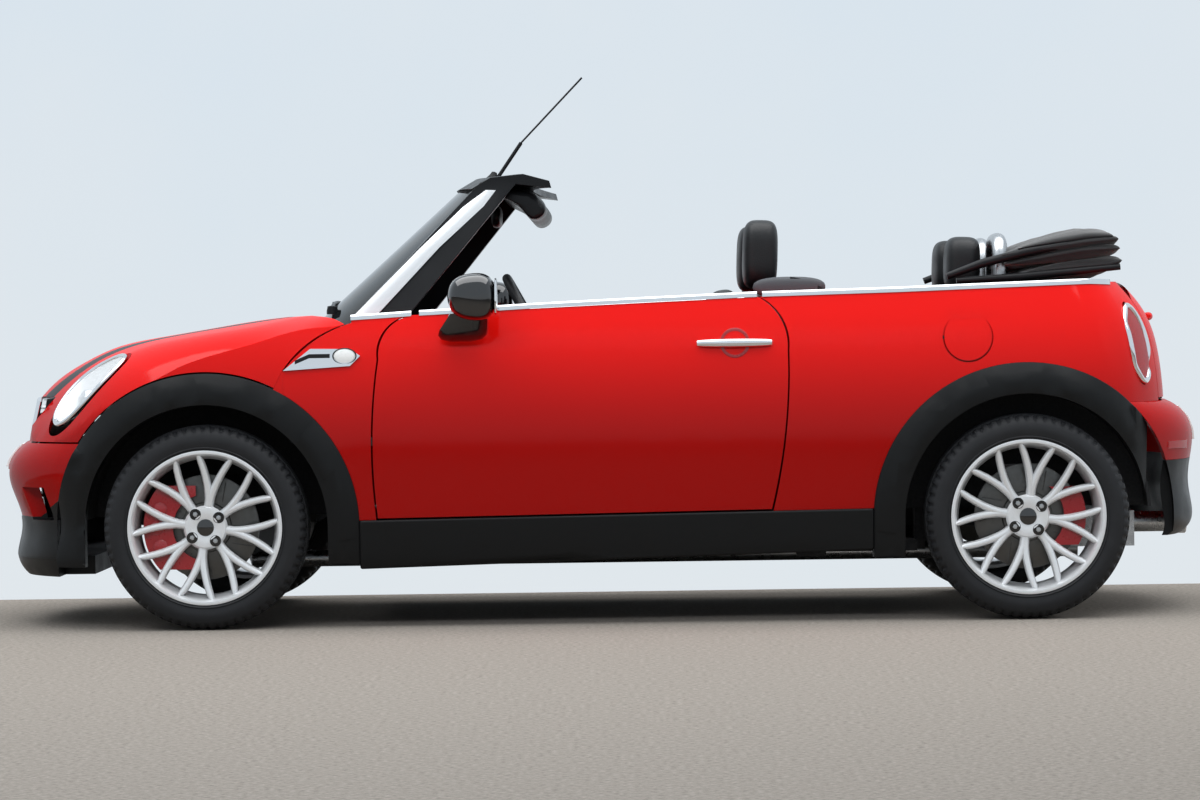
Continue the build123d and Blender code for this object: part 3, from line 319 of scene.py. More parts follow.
def finishPiece(name, bm, material, body, sharp=35, bevel=0.0):
    # one place that makes an object, marks its hard edges and ties it to its body
    bmesh.ops.remove_doubles(bm, verts=bm.verts, dist=0.00002)
    bmesh.ops.recalc_face_normals(bm, faces=bm.faces)
    for face in bm.faces:
        face.smooth = True
    for edge in bm.edges:
        if len(edge.link_faces) == 2:
            edge.smooth = edge.calc_face_angle(0) < math.radians(sharp)
    mesh = bpy.data.meshes.new(name)
    bm.to_mesh(mesh)
    bm.free()
    mesh.materials.append(material)
    piece = bpy.data.objects.new(name, mesh)
    bpy.context.scene.collection.objects.link(piece)
    if bevel:
        rounding = piece.modifiers.new("rounding", "BEVEL")
        rounding.width = bevel
        rounding.segments = 3
        rounding.limit_method = "ANGLE"
        rounding.angle_limit = math.radians(sharp)
        rounding.use_clamp_overlap = True
    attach(piece, body)
    return piece


def surfaceTree(*names):
    points, faces = [], []
    for name in names:
        mesh = nodes[name].data
        start = len(points)
        points += [v.co.copy() for v in mesh.vertices]
        faces += [[start + i for i in p.vertices] for p in mesh.polygons]
    return BVHTree.FromPolygons(points, faces)


def castGrid(tree, rows, direction, lift, fallback=None):
    # each start point travels along direction to the skin, then stands off it by lift
    aim = Vector(direction).normalized()
    result, last = [], fallback
    for row in rows:
        line = []
        for start in row:
            hit = tree.ray_cast(Vector(start), aim)[0]
            travel = (hit - Vector(start)).dot(aim) if hit else last
            if travel is None:
                travel = 0.0
            last = travel
            line.append(Vector(start) + aim * (travel - lift))
        result.append(line)
    return result


def gridSolid(top, bottom, closed=False, capped=False):
    # a slab between two grids of points with the same layout
    bm = bmesh.new()
    upper = [[bm.verts.new(p) for p in row] for row in top]
    lower = [[bm.verts.new(p) for p in row] for row in bottom]
    rows, columns = len(upper), len(upper[0])
    steps = range(columns if closed else columns - 1)
    for r in range(rows - 1):
        for c in steps:
            d = (c + 1) % columns
            bm.faces.new((upper[r][c], upper[r][d], upper[r + 1][d], upper[r + 1][c]))
            bm.faces.new((lower[r][c], lower[r + 1][c], lower[r + 1][d], lower[r][d]))
    for r in ((rows - 1,) if capped else (0, rows - 1)):
        for c in steps:
            d = (c + 1) % columns
            bm.faces.new((upper[r][c], upper[r][d], lower[r][d], lower[r][c]))
    if capped:
        bm.faces.new(upper[0])
        bm.faces.new(lower[0])
    if not closed:
        for c in (0, columns - 1):
            for r in range(rows - 1):
                bm.faces.new((upper[r][c], upper[r + 1][c], lower[r + 1][c], lower[r][c]))
    return bm


def loftRings(rings, closed=False):
    # a skin over rings of points, with flat ends unless it closes on itself
    bm = bmesh.new()
    rows = [[bm.verts.new(p) for p in ring] for ring in rings]
    following = rows[1:] + rows[:1] if closed else rows[1:]
    for a, b in zip(rows, following):
        for k in range(len(a)):
            m = (k + 1) % len(a)
            bm.faces.new((a[k], a[m], b[m], b[k]))
    if not closed:
        bm.faces.new(rows[0])
        bm.faces.new(rows[-1])
    return bm


def slabOn(tree, rows, direction, lift, sink):
    # a thin plate laid on a surface, lift proud of it and sink into it
    top = castGrid(tree, rows, direction, lift)
    aim = Vector(direction).normalized()
    bottom = [[p + aim * (lift + sink) for p in row] for row in top]
    return gridSolid(top, bottom)


def ovalRows(centre, u, v, radiusU, radiusV, radii):
    # rings of points about centre, each a share of the full oval
    centre, u, v = Vector(centre), Vector(u), Vector(v)
    count = 64
    return [[centre + u * (radiusU * t * math.cos(a)) + v * (radiusV * t * math.sin(a))
             for a in (2 * math.pi * i / count for i in range(count))] for t in radii]


def lathe(profile, place, steps=96, closed=False, axis=(0, 1, 0)):
    # profile is (radius, distance along the axis); place is the point on the axis
    bm = bmesh.new()
    axis = Vector(axis).normalized()
    side = axis.orthogonal().normalized()
    verts = [bm.verts.new(Vector(place) + side * r + axis * d) for r, d in profile]
    edges = [bm.edges.new((verts[i], verts[i + 1])) for i in range(len(verts) - 1)]
    if closed:
        edges.append(bm.edges.new((verts[-1], verts[0])))
    bmesh.ops.spin(bm, geom=verts + edges, cent=Vector(place), axis=axis, angle=2 * math.pi, steps=steps,
                   use_merge=True)
    bmesh.ops.remove_doubles(bm, verts=bm.verts, dist=0.00002)
    return bm


def tube(points, radii, sides=12, closed=False):
    # round section swept along points; radii is one number or one for each point
    points = [Vector(p) for p in points]
    radii = radii if isinstance(radii, (list, tuple)) else [radii] * len(points)
    rings, normal = [], None
    for i, point in enumerate(points):
        before = points[i - 1] if i or closed else point
        after = points[(i + 1) % len(points)] if i + 1 < len(points) or closed else point
        tangent = (after - before).normalized()
        normal = tangent.orthogonal() if normal is None else normal - tangent * normal.dot(tangent)
        normal.normalize()
        other = tangent.cross(normal)
        rings.append([point + (normal * math.cos(a) + other * math.sin(a)) * radii[i]
                      for a in (2 * math.pi * k / sides for k in range(sides))])
    return loftRings(rings, closed)


def joinInto(target, source):
    mesh = bpy.data.meshes.new("part")
    source.to_mesh(mesh)
    source.free()
    target.from_mesh(mesh)
    bpy.data.meshes.remove(mesh)
    return target


def mirrored(bm):
    copy = bm.copy()
    bmesh.ops.scale(copy, vec=(1, -1, 1), verts=copy.verts)
    return copy


def softBox(low, high, power=3.2, cuts=6):
    # a box with full, rounded sides, like a stuffed or moulded shell
    bm = bmesh.new()
    bmesh.ops.create_cube(bm, size=2)
    bmesh.ops.subdivide_edges(bm, edges=bm.edges, cuts=cuts, use_grid_fill=True)
    low, high = Vector(low), Vector(high)
    for vert in bm.verts:
        length = sum(abs(c) ** power for c in vert.co) ** (1 / power)
        vert.co = Vector([l + (h - l) * (c / length + 1) / 2 for l, h, c in zip(low, high, vert.co)])
    return bm


def smoothed(piece, levels=1):
    rounding = piece.modifiers.new("softening", "SUBSURF")
    rounding.levels = levels
    rounding.render_levels = levels
    return piece


def mm(*values):
    return Vector([v / 1000 for v in values])


def signedPower(value, power):
    # squares off a circle into a rounded box when the power is under 1
    return math.copysign(abs(value) ** power, value)


panelBevels = {"door_left": 0.0025, "door_right": 0.0025, "bonnet": 0.003, "quarter_panels": 0.0025,
               "tailgate": 0.0025, "scuttle_panels": 0.0025, "fuel_flap": 0.002, "front_bumper": 0.006,
               "rear_bumper": 0.006, "arch_trims_front": 0.006, "arch_trims_rear": 0.006, "sills": 0.009,
               "front_valance": 0.008, "rear_valance": 0.008, "windscreen_frame": 0.006, "scuttle": 0.004,
               "dashboard": 0.014, "side_trims": 0.006}
bodyOf = {node: body for body, held in frame["record"]["behaviour"]["bodies"].items() for node in held}


# side view of the bumper's lower edge of paint; below it the corner is bare plastic
cornerLine = ((1.612, 0.408), (1.708, 0.339))


def blackenCorner(bm):
    (ax, az), (bx, bz) = cornerLine
    slope = Vector((bz - az, 0, ax - bx)).normalized()
    for place, normal in (((ax, 0, az), (0, 0, 1)), ((ax, 0, az), slope), ((bx, 0, bz), (0, 0, 1))):
        everything = bm.verts[:] + bm.edges[:] + bm.faces[:]
        bmesh.ops.bisect_plane(bm, geom=everything, dist=0.00002, plane_co=place, plane_no=normal)
    for face in bm.faces:
        middle = face.calc_center_median()
        t = min(1.0, max(0.0, (middle.x - ax) / (bx - ax)))
        face.material_index = 1 if middle.z < az + (bz - az) * t else 0


crown = {"inner": 0.374, "outer": 0.462, "side": 0.76, "cuts": 6}
# how far the flat side sinks, from the lip over the wheel to the outer edge
crownProfile = ((0.0, 0.007), (0.14, 0.001), (0.30, 0.0), (0.5, 0.003), (0.75, 0.010), (1.0, 0.021))


def crownTrim(bm, axleX):
    # rolls the trim's flat side away towards its outer edge, with a crease near the lip
    def spread(vert):
        dx, dz = vert.co.x - axleX, max(0.0, vert.co.z - wheelHeight)
        return (math.hypot(dx, dz) - crown["inner"]) / (crown["outer"] - crown["inner"])

    long = [edge for edge in bm.edges if min(abs(v.co.y) for v in edge.verts) > crown["side"]
            and abs(spread(edge.verts[0]) - spread(edge.verts[1])) > 0.6
            and abs(edge.verts[0].co.y - edge.verts[1].co.y) < 0.03]
    bmesh.ops.subdivide_edges(bm, edges=long, cuts=crown["cuts"], use_grid_fill=True)
    for vert in bm.verts:
        if abs(vert.co.y) > crown["side"]:
            t = min(1.0, max(0.0, spread(vert)))
            for (t0, sink0), (t1, sink1) in zip(crownProfile, crownProfile[1:]):
                if t0 <= t <= t1:
                    sink = sink0 + (sink1 - sink0) * (t - t0) / (t1 - t0)
            vert.co.y -= math.copysign(sink, vert.co.y)


def softenNode(name, width):
    # a merged copy of the panel with its pressed edges rounded, so that they catch a line of light
    bm = bmesh.new()
    bm.from_mesh(nodes[name].data)
    material = nodes[name].data.materials[0]
    bmesh.ops.remove_doubles(bm, verts=bm.verts, dist=0.00003)
    bmesh.ops.dissolve_degenerate(bm, edges=bm.edges, dist=0.00003)
    if name.startswith("arch_trims"):
        crownTrim(bm, frontAxleX if "front" in name else rearAxleX)
    clean = bmesh.new()
    copies = [clean.verts.new(v.co) for v in bm.verts]
    clean.verts.index_update()
    bm.verts.index_update()
    for face in bm.faces:
        clean.faces.new([copies[v.index] for v in face.verts])
    bm.free()
    bmesh.ops.dissolve_limit(clean, angle_limit=math.radians(0.6), verts=clean.verts, edges=clean.edges)
    if name == "front_bumper":
        blackenCorner(clean)
    piece = finishPiece(name + "Finish", clean, material, bodyOf[name], 38, width)
    if name == "front_bumper":
        piece.data.materials.append(trimPlastic)
    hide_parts(name)


for panelName, panelWidth in panelBevels.items():
    softenNode(panelName, panelWidth)
print("panels done")

wheelSizes = {
    "flange": 0.231, "half": 0.099, "hub": 0.064, "cap": 0.0265,
    "boltCircle": 0.050, "bolt": 0.0155, "tip": 0.221, "fork": 13.35, "spokes": 8,
    "frontTurn": -8.4, "rearTurn": -8.0, "discGrooves": (0.090, 0.118, 0.146),
}


def rimMesh():
    # flange, bright lip with its step, well and inner flange
    w, r = wheelSizes["half"], wheelSizes["flange"]
    profile = [(r - 0.004, w - 0.010), (r, w - 0.007), (r + 0.001, w - 0.001), (r - 0.002, w),
               (r - 0.009, w - 0.001), (r - 0.012, w - 0.006), (0.217, w - 0.010), (0.2145, w - 0.016),
               (0.212, 0.060), (0.206, 0.044), (0.204, -0.02), (0.208, -0.070), (0.213, -w + 0.008),
               (0.219, -w + 0.001), (r - 0.002, -w), (r, -w + 0.006), (r - 0.004, -w + 0.010),
               (0.222, -w + 0.014), (0.217, -0.070), (0.211, -0.02), (0.213, 0.046), (0.219, 0.062),
               (0.221, w - 0.014)]
    return lathe(profile, (0, 0, 0), 128, closed=True)


def spokeArm(turn, side):
    # one arm of a forked spoke: from the hub out to a pointed claw on the lip
    rings = []
    for i in range(15):
        t = i / 14
        radius = 0.048 + (wheelSizes["tip"] - 0.048) * t
        spread = max(0.0, (radius - 0.088) / (wheelSizes["tip"] - 0.088))
        angle = math.radians(turn + side * (1.5 + (wheelSizes["fork"] - 1.5) * spread ** 0.92))
        half = 0.0112 - 0.0018 * t - (0.0035 * max(0, (t - 0.9) / 0.1))
        face = 0.070 + 0.021 * t ** 1.6
        back = face - 0.030 + 0.012 * t
        out = Vector((math.sin(angle), 0, math.cos(angle)))
        across = Vector((math.cos(angle), 0, -math.sin(angle)))
        section = ((-half * 1.15, back), (-half * 1.1, face - 0.009), (-half * 0.72, face - 0.0022),
                   (-half * 0.25, face), (half * 0.25, face), (half * 0.72, face - 0.0022),
                   (half * 1.1, face - 0.009), (half * 1.15, back))
        rings.append([out * radius + across * x + Vector((0, y, 0)) for x, y in section])
    return loftRings(rings)


def wheelParts(turn):
    # every mesh of one left wheel, about its own centre
    hub, cap, bolt = wheelSizes["hub"], wheelSizes["cap"], wheelSizes["bolt"]
    metal = rimMesh()
    joinInto(metal, lathe([(0.0, 0.046), (hub, 0.046), (hub + 0.002, 0.066), (hub - 0.004, 0.0735), (0.036,
                                                                                                     0.0755),
                           (0.030, 0.0735), (0.0, 0.0735)], (0, 0, 0), 96))
    for k in range(wheelSizes["spokes"]):
        for side in (-1, 1):
            joinInto(metal, spokeArm(turn + 360 / wheelSizes["spokes"] * k, side))
    dark = lathe([(0.0, 0.0775), (0.020, 0.0772), (cap - 0.002, 0.0758), (cap, 0.072), (0.0, 0.070)],
                 (0, 0, 0), 48)
    bolts = bmesh.new()
    for k in range(4):
        angle = math.radians(turn + 45 + 90 * k)
        place = (wheelSizes["boltCircle"] * math.sin(angle), 0, wheelSizes["boltCircle"] * math.cos(angle))
        joinInto(dark, lathe([(0.0, 0.0752), (bolt, 0.0752), (bolt + 0.0005, 0.0762), (bolt + 0.0015, 0.0758),
                              (bolt + 0.0015, 0.071), (0.0, 0.071)], place, 32))
        joinInto(bolts, lathe([(0.0, 0.0790), (0.0070, 0.0785), (0.0082, 0.0760), (0.0, 0.0755)], place, 6))
    disc = lathe([(0.070, 0.010), (0.154, 0.010), (0.158, 0.012), (0.158, 0.029), (0.154, 0.031),
                  (0.076, 0.031), (0.073, 0.044), (0.0, 0.045), (0.0, 0.010)], (0, 0, 0), 96)
    for k in range(12):
        angle = math.radians(30 * k)
        out = Vector((math.sin(angle), 0, math.cos(angle)))
        across = Vector((math.cos(angle), 0, -math.sin(angle)))
        groove = [out * r + across * (r - 0.1) * 0.35 + Vector((0, 0.0312, 0))
                  for r in wheelSizes["discGrooves"]]
        joinInto(disc, tube(groove, 0.0016, 6))
    return (("Rim", metal, alloy, "wheel_alloy"), ("Cap", dark, glossBlack, "wheel_alloy"),
            ("Bolts", bolts, satinSteel, "wheel_alloy"), ("Disc", disc, discSteelWithPaintedShade, "wheel_alloy"))


def tyreMesh():
    # sidewall with its rim guard, rounded shoulder cut by cross grooves, four grooves round the tread
    pitches, parts = 66, 5
    profile = [(0.2225, 0.080), (0.2320, 0.0925), (0.2360, 0.0985), (0.2395, 0.1010), (0.2420, 0.0985),
               (0.2470, 0.0995), (0.2580, 0.1022), (0.2680, 0.1016), (0.2780, 0.0990), (0.2860, 0.0955),
               (0.2930, 0.0900), (0.2985, 0.0835), (0.3022, 0.0760), (0.3045, 0.0660), (0.3048, 0.0570),
               (0.2985, 0.0560), (0.2985, 0.0490), (0.3066, 0.0480), (0.3075, 0.0250), (0.3010, 0.0240),
               (0.3010, 0.0160), (0.3078, 0.0150), (0.3080, 0.0)]
    profile = profile + [(r, -y) for r, y in reversed(profile[:-1])]
    count = pitches * parts
    bm = bmesh.new()
    rings = []
    for i in range(count):
        angle = 2 * math.pi * i / count
        row = []
        for radius, y in profile:
            inGroove = i % parts in (0, 1) and 0.0565 < abs(y) < 0.0905 and radius > 0.29
            depth = 0.0048 if inGroove else 0.0
            row.append(bm.verts.new(((radius - depth) * math.sin(angle), y,
                                     (radius - depth) * math.cos(angle))))
        rings.append(row)
    for i in range(count):
        a, b = rings[i], rings[(i + 1) % count]
        for k in range(len(profile) - 1):
            bm.faces.new((a[k], a[k + 1], b[k + 1], b[k]))
        bm.faces.new((a[-1], a[0], b[0], b[-1]))
    return bm


def addWheels():
    for end, axleX, wheelY, turn in (("front", frontAxleX, frontWheelY, wheelSizes["frontTurn"]),
                                     ("rear", rearAxleX, rearWheelY, wheelSizes["rearTurn"])):
        parts = wheelParts(turn) + (("Tyre", tyreMesh(), tyreMaterial, "tyre_rubber"),)
        for label, bm, material, slot in parts:
            for side, factor in (("left", 1), ("right", -1)):
                copy = bm.copy() if factor > 0 else mirrored(bm)
                bmesh.ops.translate(copy, vec=(axleX, factor * wheelY, wheelHeight), verts=copy.verts)
                body = "wheel_" + end + "_" + side
                piece = finishPiece(body + label, copy, material, body, 28)
                if label == "Rim":
                    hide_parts("rim_" + end + "_" + side)
                if label == "Tyre":
                    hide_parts("tyre_" + end + "_" + side)
            bm.free()


addWheels()
print("wheels done")

caliperSizes = {"pistons": (22, 0, -22), "radius": 0.149, "size": 0.021, "sunk": 0.002}


def addPistons():
    for side, factor in (("left", 1), ("right", -1)):
        low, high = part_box("caliper_front_" + side)
        outer = high[1] if factor > 0 else low[1]
        bm = bmesh.new()
        for degrees in caliperSizes["pistons"]:
            angle = math.radians(90 + degrees)
            place = (frontAxleX + caliperSizes["radius"] * math.sin(angle),
                     outer - factor * caliperSizes["sunk"],
                     wheelHeight + caliperSizes["radius"] * math.cos(angle))
            size = caliperSizes["size"]
            profile = [(0.0, 0.0), (size, 0.0), (size, 0.004), (size - 0.004, 0.007), (0.0, 0.008)]
            joinInto(bm, lathe(profile, place, 32, axis=(0, factor, 0)))
        finishPiece("caliperPistons_" + side, bm, caliperRed, "knuckle_" + side)


addPistons()

skinTree = surfaceTree("bonnet", "headlamps", "front_bumper", "scuttle_panels", "quarter_panels", "door_left",
                       "door_right", "tailgate", "tail_lamps", "rear_bumper", "fuel_flap", "grille")
headlamp = {"centre": mm(1548, 585, 1300), "turn": -22, "long": 0.119, "short": 0.092, "ring": 0.0085,
            "depth": 0.05}


bowlSteps = {"scales": (1.0, 0.9, 0.72, 0.5, 0.28, 0.1), "power": 2.2, "wall": 0.003}
lensSteps = {"scales": (0.06, 0.3, 0.55, 0.8, 1.0), "dome": 0.007, "wall": 0.0025, "proud": 0.004}
projectorProfile = [(0.0, 0.018), (0.016, 0.015), (0.027, 0.005), (0.031, -0.004), (0.036, -0.006),
                    (0.036, -0.03), (0.0, -0.03)]


def thickened(rows, shift, **settings):
    return gridSolid(rows, [[p + shift for p in row] for row in rows], **settings)


def lampSet(name, rowsFor, direction, ringMaterial, lensMaterial, depth, bulb):
    # chrome ring, bowl sunk behind it, a projector in the bowl and a domed lens on top, on both sides
    aim = Vector(direction).normalized()
    rim = castGrid(skinTree, rowsFor((0.99,)), direction, 0.0015)[0]
    inner = castGrid(skinTree, rowsFor((0.9,)), direction, 0.003)[0]
    centre = sum(inner, Vector()) / len(inner)
    line = [a.lerp(b, 0.35) for a, b in zip(rim, inner)]
    for _ in range(6):
        line = [(line[k - 1] + line[k] * 2 + line[(k + 1) % len(line)]) / 4 for k in range(len(line))]
    ring = tube(line, headlamp["ring"] * (0.9 if bulb else 1.1), 12, closed=True)
    bowlRows = []
    for t in bowlSteps["scales"][::-1]:
        bowlRows.append([centre + (p - centre) * t + aim * depth * (1 - t ** bowlSteps["power"])
                         for p in inner])
    bowl = thickened(bowlRows, aim * bowlSteps["wall"], closed=True, capped=True)
    lensRows = []
    for t in lensSteps["scales"]:
        lensRows.append([centre + (p - centre) * t - aim * lensSteps["dome"] * (1 - t * t) for p in inner])
    above = [[p - aim * 0.2 for p in row] for row in lensRows]
    lens = thickened(castGrid(skinTree, above, direction, lensSteps["proud"], 0.2), aim * lensSteps["wall"],
                     closed=True, capped=True)
    parts = [("Ring", ring, ringMaterial), ("Bowl", bowl, reflector), ("Lens", lens, lensMaterial)]
    if bulb:
        projector = lathe(projectorProfile, centre + aim * 0.028, 40, axis=-aim)
        parts.append(("Projector", projector, chrome))
    result = []
    for label, bm, material in parts:
        for side, copy in (("Left", bm.copy()), ("Right", mirrored(bm))):
            result.append(finishPiece(name + label + side, copy, material, "body", 40))
        bm.free()
    return result


def headlampRows(radii):
    turn = math.radians(headlamp["turn"])
    u, v = Vector((math.cos(turn), math.sin(turn), 0)), Vector((-math.sin(turn), math.cos(turn), 0))
    return ovalRows(headlamp["centre"], u, v, headlamp["long"], headlamp["short"], radii)


headPieces = lampSet("headlamp", headlampRows, (0, 0, -1), chrome, lensGlass,
                     headlamp["depth"], True)
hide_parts("headlamps")

tailLamp = {"centre": mm(-1640, 635, 822), "turn": 29, "wide": 0.066, "tall": 0.121, "reach": 0.4,
            "depth": 0.03}


def tailLampRows(radii):
    turn = math.radians(tailLamp["turn"])
    outward = Vector((-math.cos(turn), math.sin(turn), 0))
    across = Vector((math.sin(turn), math.cos(turn), 0))
    return ovalRows(tailLamp["centre"] + outward * tailLamp["reach"], across, (0, 0, 1), tailLamp["wide"],
                    tailLamp["tall"], radii)


tailTurn = math.radians(tailLamp["turn"])
tailPieces = lampSet("tailLamp", tailLampRows, (math.cos(tailTurn), -math.sin(tailTurn), 0), chrome, redLens,
                     tailLamp["depth"], False)
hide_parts("tail_lamps")
print("lamps done")


def sidePatch(name, pairs, tree, lift, sink, material, body, steps, factor):
    # a strip between two side-view lines, laid on the surface from the side
    rows = []
    for (ax, az), (bx, bz) in pairs:
        rows.append([mm(ax + (bx - ax) * k / steps, 1100 * factor, az + (bz - az) * k / steps)
                     for k in range(steps + 1)])
    bm = slabOn(tree, rows, (0, -factor, 0), lift, sink)
    return finishPiece(name, bm, material, body, 30)


# side view of the bright silver strip up the screen pillar, a painted highlight where the glossy black pillar
# trim catches the sky: front edge, then rear edge
pillarHighlightStrip = (((731, 940), (659, 943)), ((531, 1141), (472, 1143)), ((347, 1316), (286, 1314)))
pillarSide = {"foot": 702, "top": 600.5, "thick": 3.5}


def addPillarStrip(side, factor):
    rows = []
    for i in range(13):
        t = i / 12
        n = 0 if t < 0.5 else 1
        f = t * 2 - n
        (ax, az), (bx, bz) = pillarHighlightStrip[n]
        (cx, cz), (dx, dz) = pillarHighlightStrip[n + 1]
        y = pillarSide["foot"] + (pillarSide["top"] - pillarSide["foot"]) * t
        edge = [(ax + (cx - ax) * f, az + (cz - az) * f), (bx + (dx - bx) * f, bz + (dz - bz) * f)]
        rows.append([mm(edge[0][0] + (edge[1][0] - edge[0][0]) * k / 4,
                        factor * (y + 3.0 * math.sin(math.pi * k / 4) + 3 * k / 4),
                        edge[0][1] + (edge[1][1] - edge[0][1]) * k / 4) for k in range(5)])
    strip = thickened(rows, mm(0, -factor * pillarSide["thick"], 0))
    finishPiece("pillarHighlightStrip" + side, strip, pillarHighlightSilver, "body")


sideLamp = {"place": (756, 817), "side": 800, "long": 1.72, "tall": 1.16}
sideLampLens = [(0.0, 0.0065), (0.010, 0.0060), (0.0175, 0.0035), (0.0195, 0.0), (0.0, -0.003)]
sideLampRing = [(0.0190, 0.0), (0.0195, 0.0035), (0.0203, 0.0040), (0.0212, 0.0030), (0.0214, -0.003),
                (0.019, -0.003)]
# side view of the dark groove in the bezel, top edge and bottom edge
sideLampGroove = (((800, 824), (800, 812)), ((862, 824), (862, 812)), ((905, 806), (905, 794)))
wingFiller = {"heights": (700, 715, 730, 745, 760, 774), "front": 936, "rear": 945, "slope": 2.04,
              "sunk": 1.5, "thick": 2}


def addSideLamp(side, factor):
    tree = surfaceTree("side_lamps")
    x, z = sideLamp["place"]
    hit = tree.ray_cast(mm(x, 1000 * factor, z), Vector((0, -factor, 0)))[0] or mm(x,
                                                                                   sideLamp["side"] * factor,
                                                                                   z)
    lens = lathe(sideLampLens, hit, 40, axis=(0, factor, 0))
    ring = lathe(sideLampRing, hit, 40, closed=True, axis=(0, factor, 0))
    for bm in (lens, ring):
        for vert in bm.verts:
            vert.co.x = hit.x + (vert.co.x - hit.x) * sideLamp["long"]
            vert.co.z = hit.z + (vert.co.z - hit.z) * sideLamp["tall"]
    finishPiece("sideLampLens" + side, lens, whiteLens, "body")
    finishPiece("sideLampRing" + side, ring, smoothPlastic, "body")
    sidePatch("sideLampGroove" + side, sideLampGroove, tree, 0.0008, 0.002, smoothPlastic, "body",
              2, factor)


def addWingFiller(side, factor):
    # painted filler between the wing's rear edge, the bonnet and the arch trim
    top = wingFiller["heights"][-1]
    rows = []
    for z in wingFiller["heights"]:
        skin = skinTree.ray_cast(mm(930, 1100 * factor, z), Vector((0, -factor, 0)))[0]
        y = skin.y * 1000 - factor * wingFiller["sunk"]
        rows.append([mm(x, y, z) for x in (wingFiller["front"],
                                           wingFiller["rear"] + (top - z) / wingFiller["slope"])])
    filler = thickened(rows, mm(0, -factor * wingFiller["thick"], 0))
    finishPiece("wingFiller" + side, filler, red, "body")


for side, factor in (("Left", 1), ("Right", -1)):
    addPillarStrip(side, factor)
    addSideLamp(side, factor)
    addWingFiller(side, factor)
print("side details done")

beltPoints = ((741, 929), (645, 934), (541, 940), (470, 943), (199, 957), (-132, 970), (-464, 982),
              (-915, 991), (-1216, 1000), (-1487, 1008), (-1562, 1006))
beltSizes = {"tall": 11, "wide": 13, "step": 24, "proud": 1.5}


def beltHeight(x):
    for (ax, az), (bx, bz) in zip(beltPoints, beltPoints[1:]):
        if ax >= x >= bx:
            return az + (bz - az) * (ax - x) / (ax - bx)
    return beltPoints[0][1] if x > beltPoints[0][0] else beltPoints[-1][1]


def beltStrip(name, startX, endX, factor, body):
    # half-round moulding that follows the top edge of the body side
    count = max(4, int(abs(startX - endX) / beltSizes["step"]))
    rings = []
    depth = None
    for i in range(count + 1):
        x = startX + (endX - startX) * i / count
        z = beltHeight(x)
        for drop in (10, 18, 26):
            hit = skinTree.ray_cast(mm(x, 1100 * factor, z - drop), Vector((0, -factor, 0)))[0]
            if hit and abs(hit.y) > 0.6:
                depth = abs(hit.y) * 1000 + beltSizes["proud"]
                break
        w, t = beltSizes["wide"], beltSizes["tall"]
        section = ((0, -5), (0, t * 0.35), (-w * 0.15, t * 0.78), (-w * 0.45, t), (-w * 0.8, t * 0.8),
                   (-w, t * 0.3), (-w, -5))
        rings.append([mm(x, factor * (depth + y), z + h) for y, h in section])
    return finishPiece(name, loftRings(rings), chrome, body, 50)


for side, factor in (("left", 1), ("right", -1)):
    beltStrip("beltFront_" + side, 738, 556, factor, "body")
    beltStrip("beltDoor_" + side, 532, -484, factor, "door_" + side)
    rearStrip = beltStrip("beltRear_" + side, -500, -1560, factor, "body")
    if side == "left":
        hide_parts("belt_strips")
print("belt line done")

mirrorSizes = {"low": (296, 845, 914), "high": (441, 990, 1061), "front": 0.300, "reach": 0.132,
               "lean": 0.012, "middle": 0.99, "below": 1.2}
mirrorGlass = ((292, 868, 932), (300, 970, 1042))
mirrorFootRows = (
    # height, front and rear ends, inner and outer sides
    (855, 372, 440, 796, 824), (862, 340, 466, 796, 838), (876, 326, 475, 798, 856),
    (892, 322, 470, 804, 872), (916, 320, 452, 822, 900), (938, 322, 436, 848, 924),
)
handleSizes = {"front": -303, "rear": -524, "z": 840, "stand": 0.004, "arch": 0.008, "radius": 0.0085,
               "belly": 0.0032, "tall": 1.15}
handleCupPaintedShade = {"centre": -415, "radius": 45, "thick": 3,
             "rings": ((0.8, 0.0012), (0.93, 0.0019), (1.0, 0.0008))}


def mirrorBody():
    # housing that leans in above and below as it goes back
    cap = softBox(mm(*mirrorSizes["low"]), mm(*mirrorSizes["high"]), 2.9, 8)
    for vert in cap.verts:
        lean = mirrorSizes["lean"] * ((vert.co.x - mirrorSizes["front"]) / mirrorSizes["reach"]) ** 2
        vert.co.z -= lean if vert.co.z > mirrorSizes["middle"] else -lean * mirrorSizes["below"]
    return cap


def mirrorFoot():
    rings = []
    for z, x0, x1, y0, y1 in mirrorFootRows:
        turns = [2 * math.pi * k / 16 for k in range(16)]
        rings.append([mm((x0 + x1) / 2 + (x1 - x0) / 2 * signedPower(math.cos(a), 0.6),
                         (y0 + y1) / 2 + (y1 - y0) / 2 * signedPower(math.sin(a), 0.6), z) for a in turns])
    return loftRings(rings)


def doorHandle():
    z = handleSizes["z"]
    path, radii = [], []
    for i in range(17):
        swell = math.sin(math.pi * i / 16) ** 0.5
        x = handleSizes["front"] + (handleSizes["rear"] - handleSizes["front"]) * i / 16
        hit = skinTree.ray_cast(mm(x, 1100, z), Vector((0, -1, 0)))[0]
        stand = handleSizes["stand"] + handleSizes["arch"] * swell
        path.append(Vector((x / 1000, hit.y + stand, z / 1000)))
        radii.append(handleSizes["radius"] + handleSizes["belly"] * swell)
    handle = tube(path, radii, 14)
    for vert in handle.verts:
        vert.co.z = z / 1000 + (vert.co.z - z / 1000) * handleSizes["tall"]
    return handle


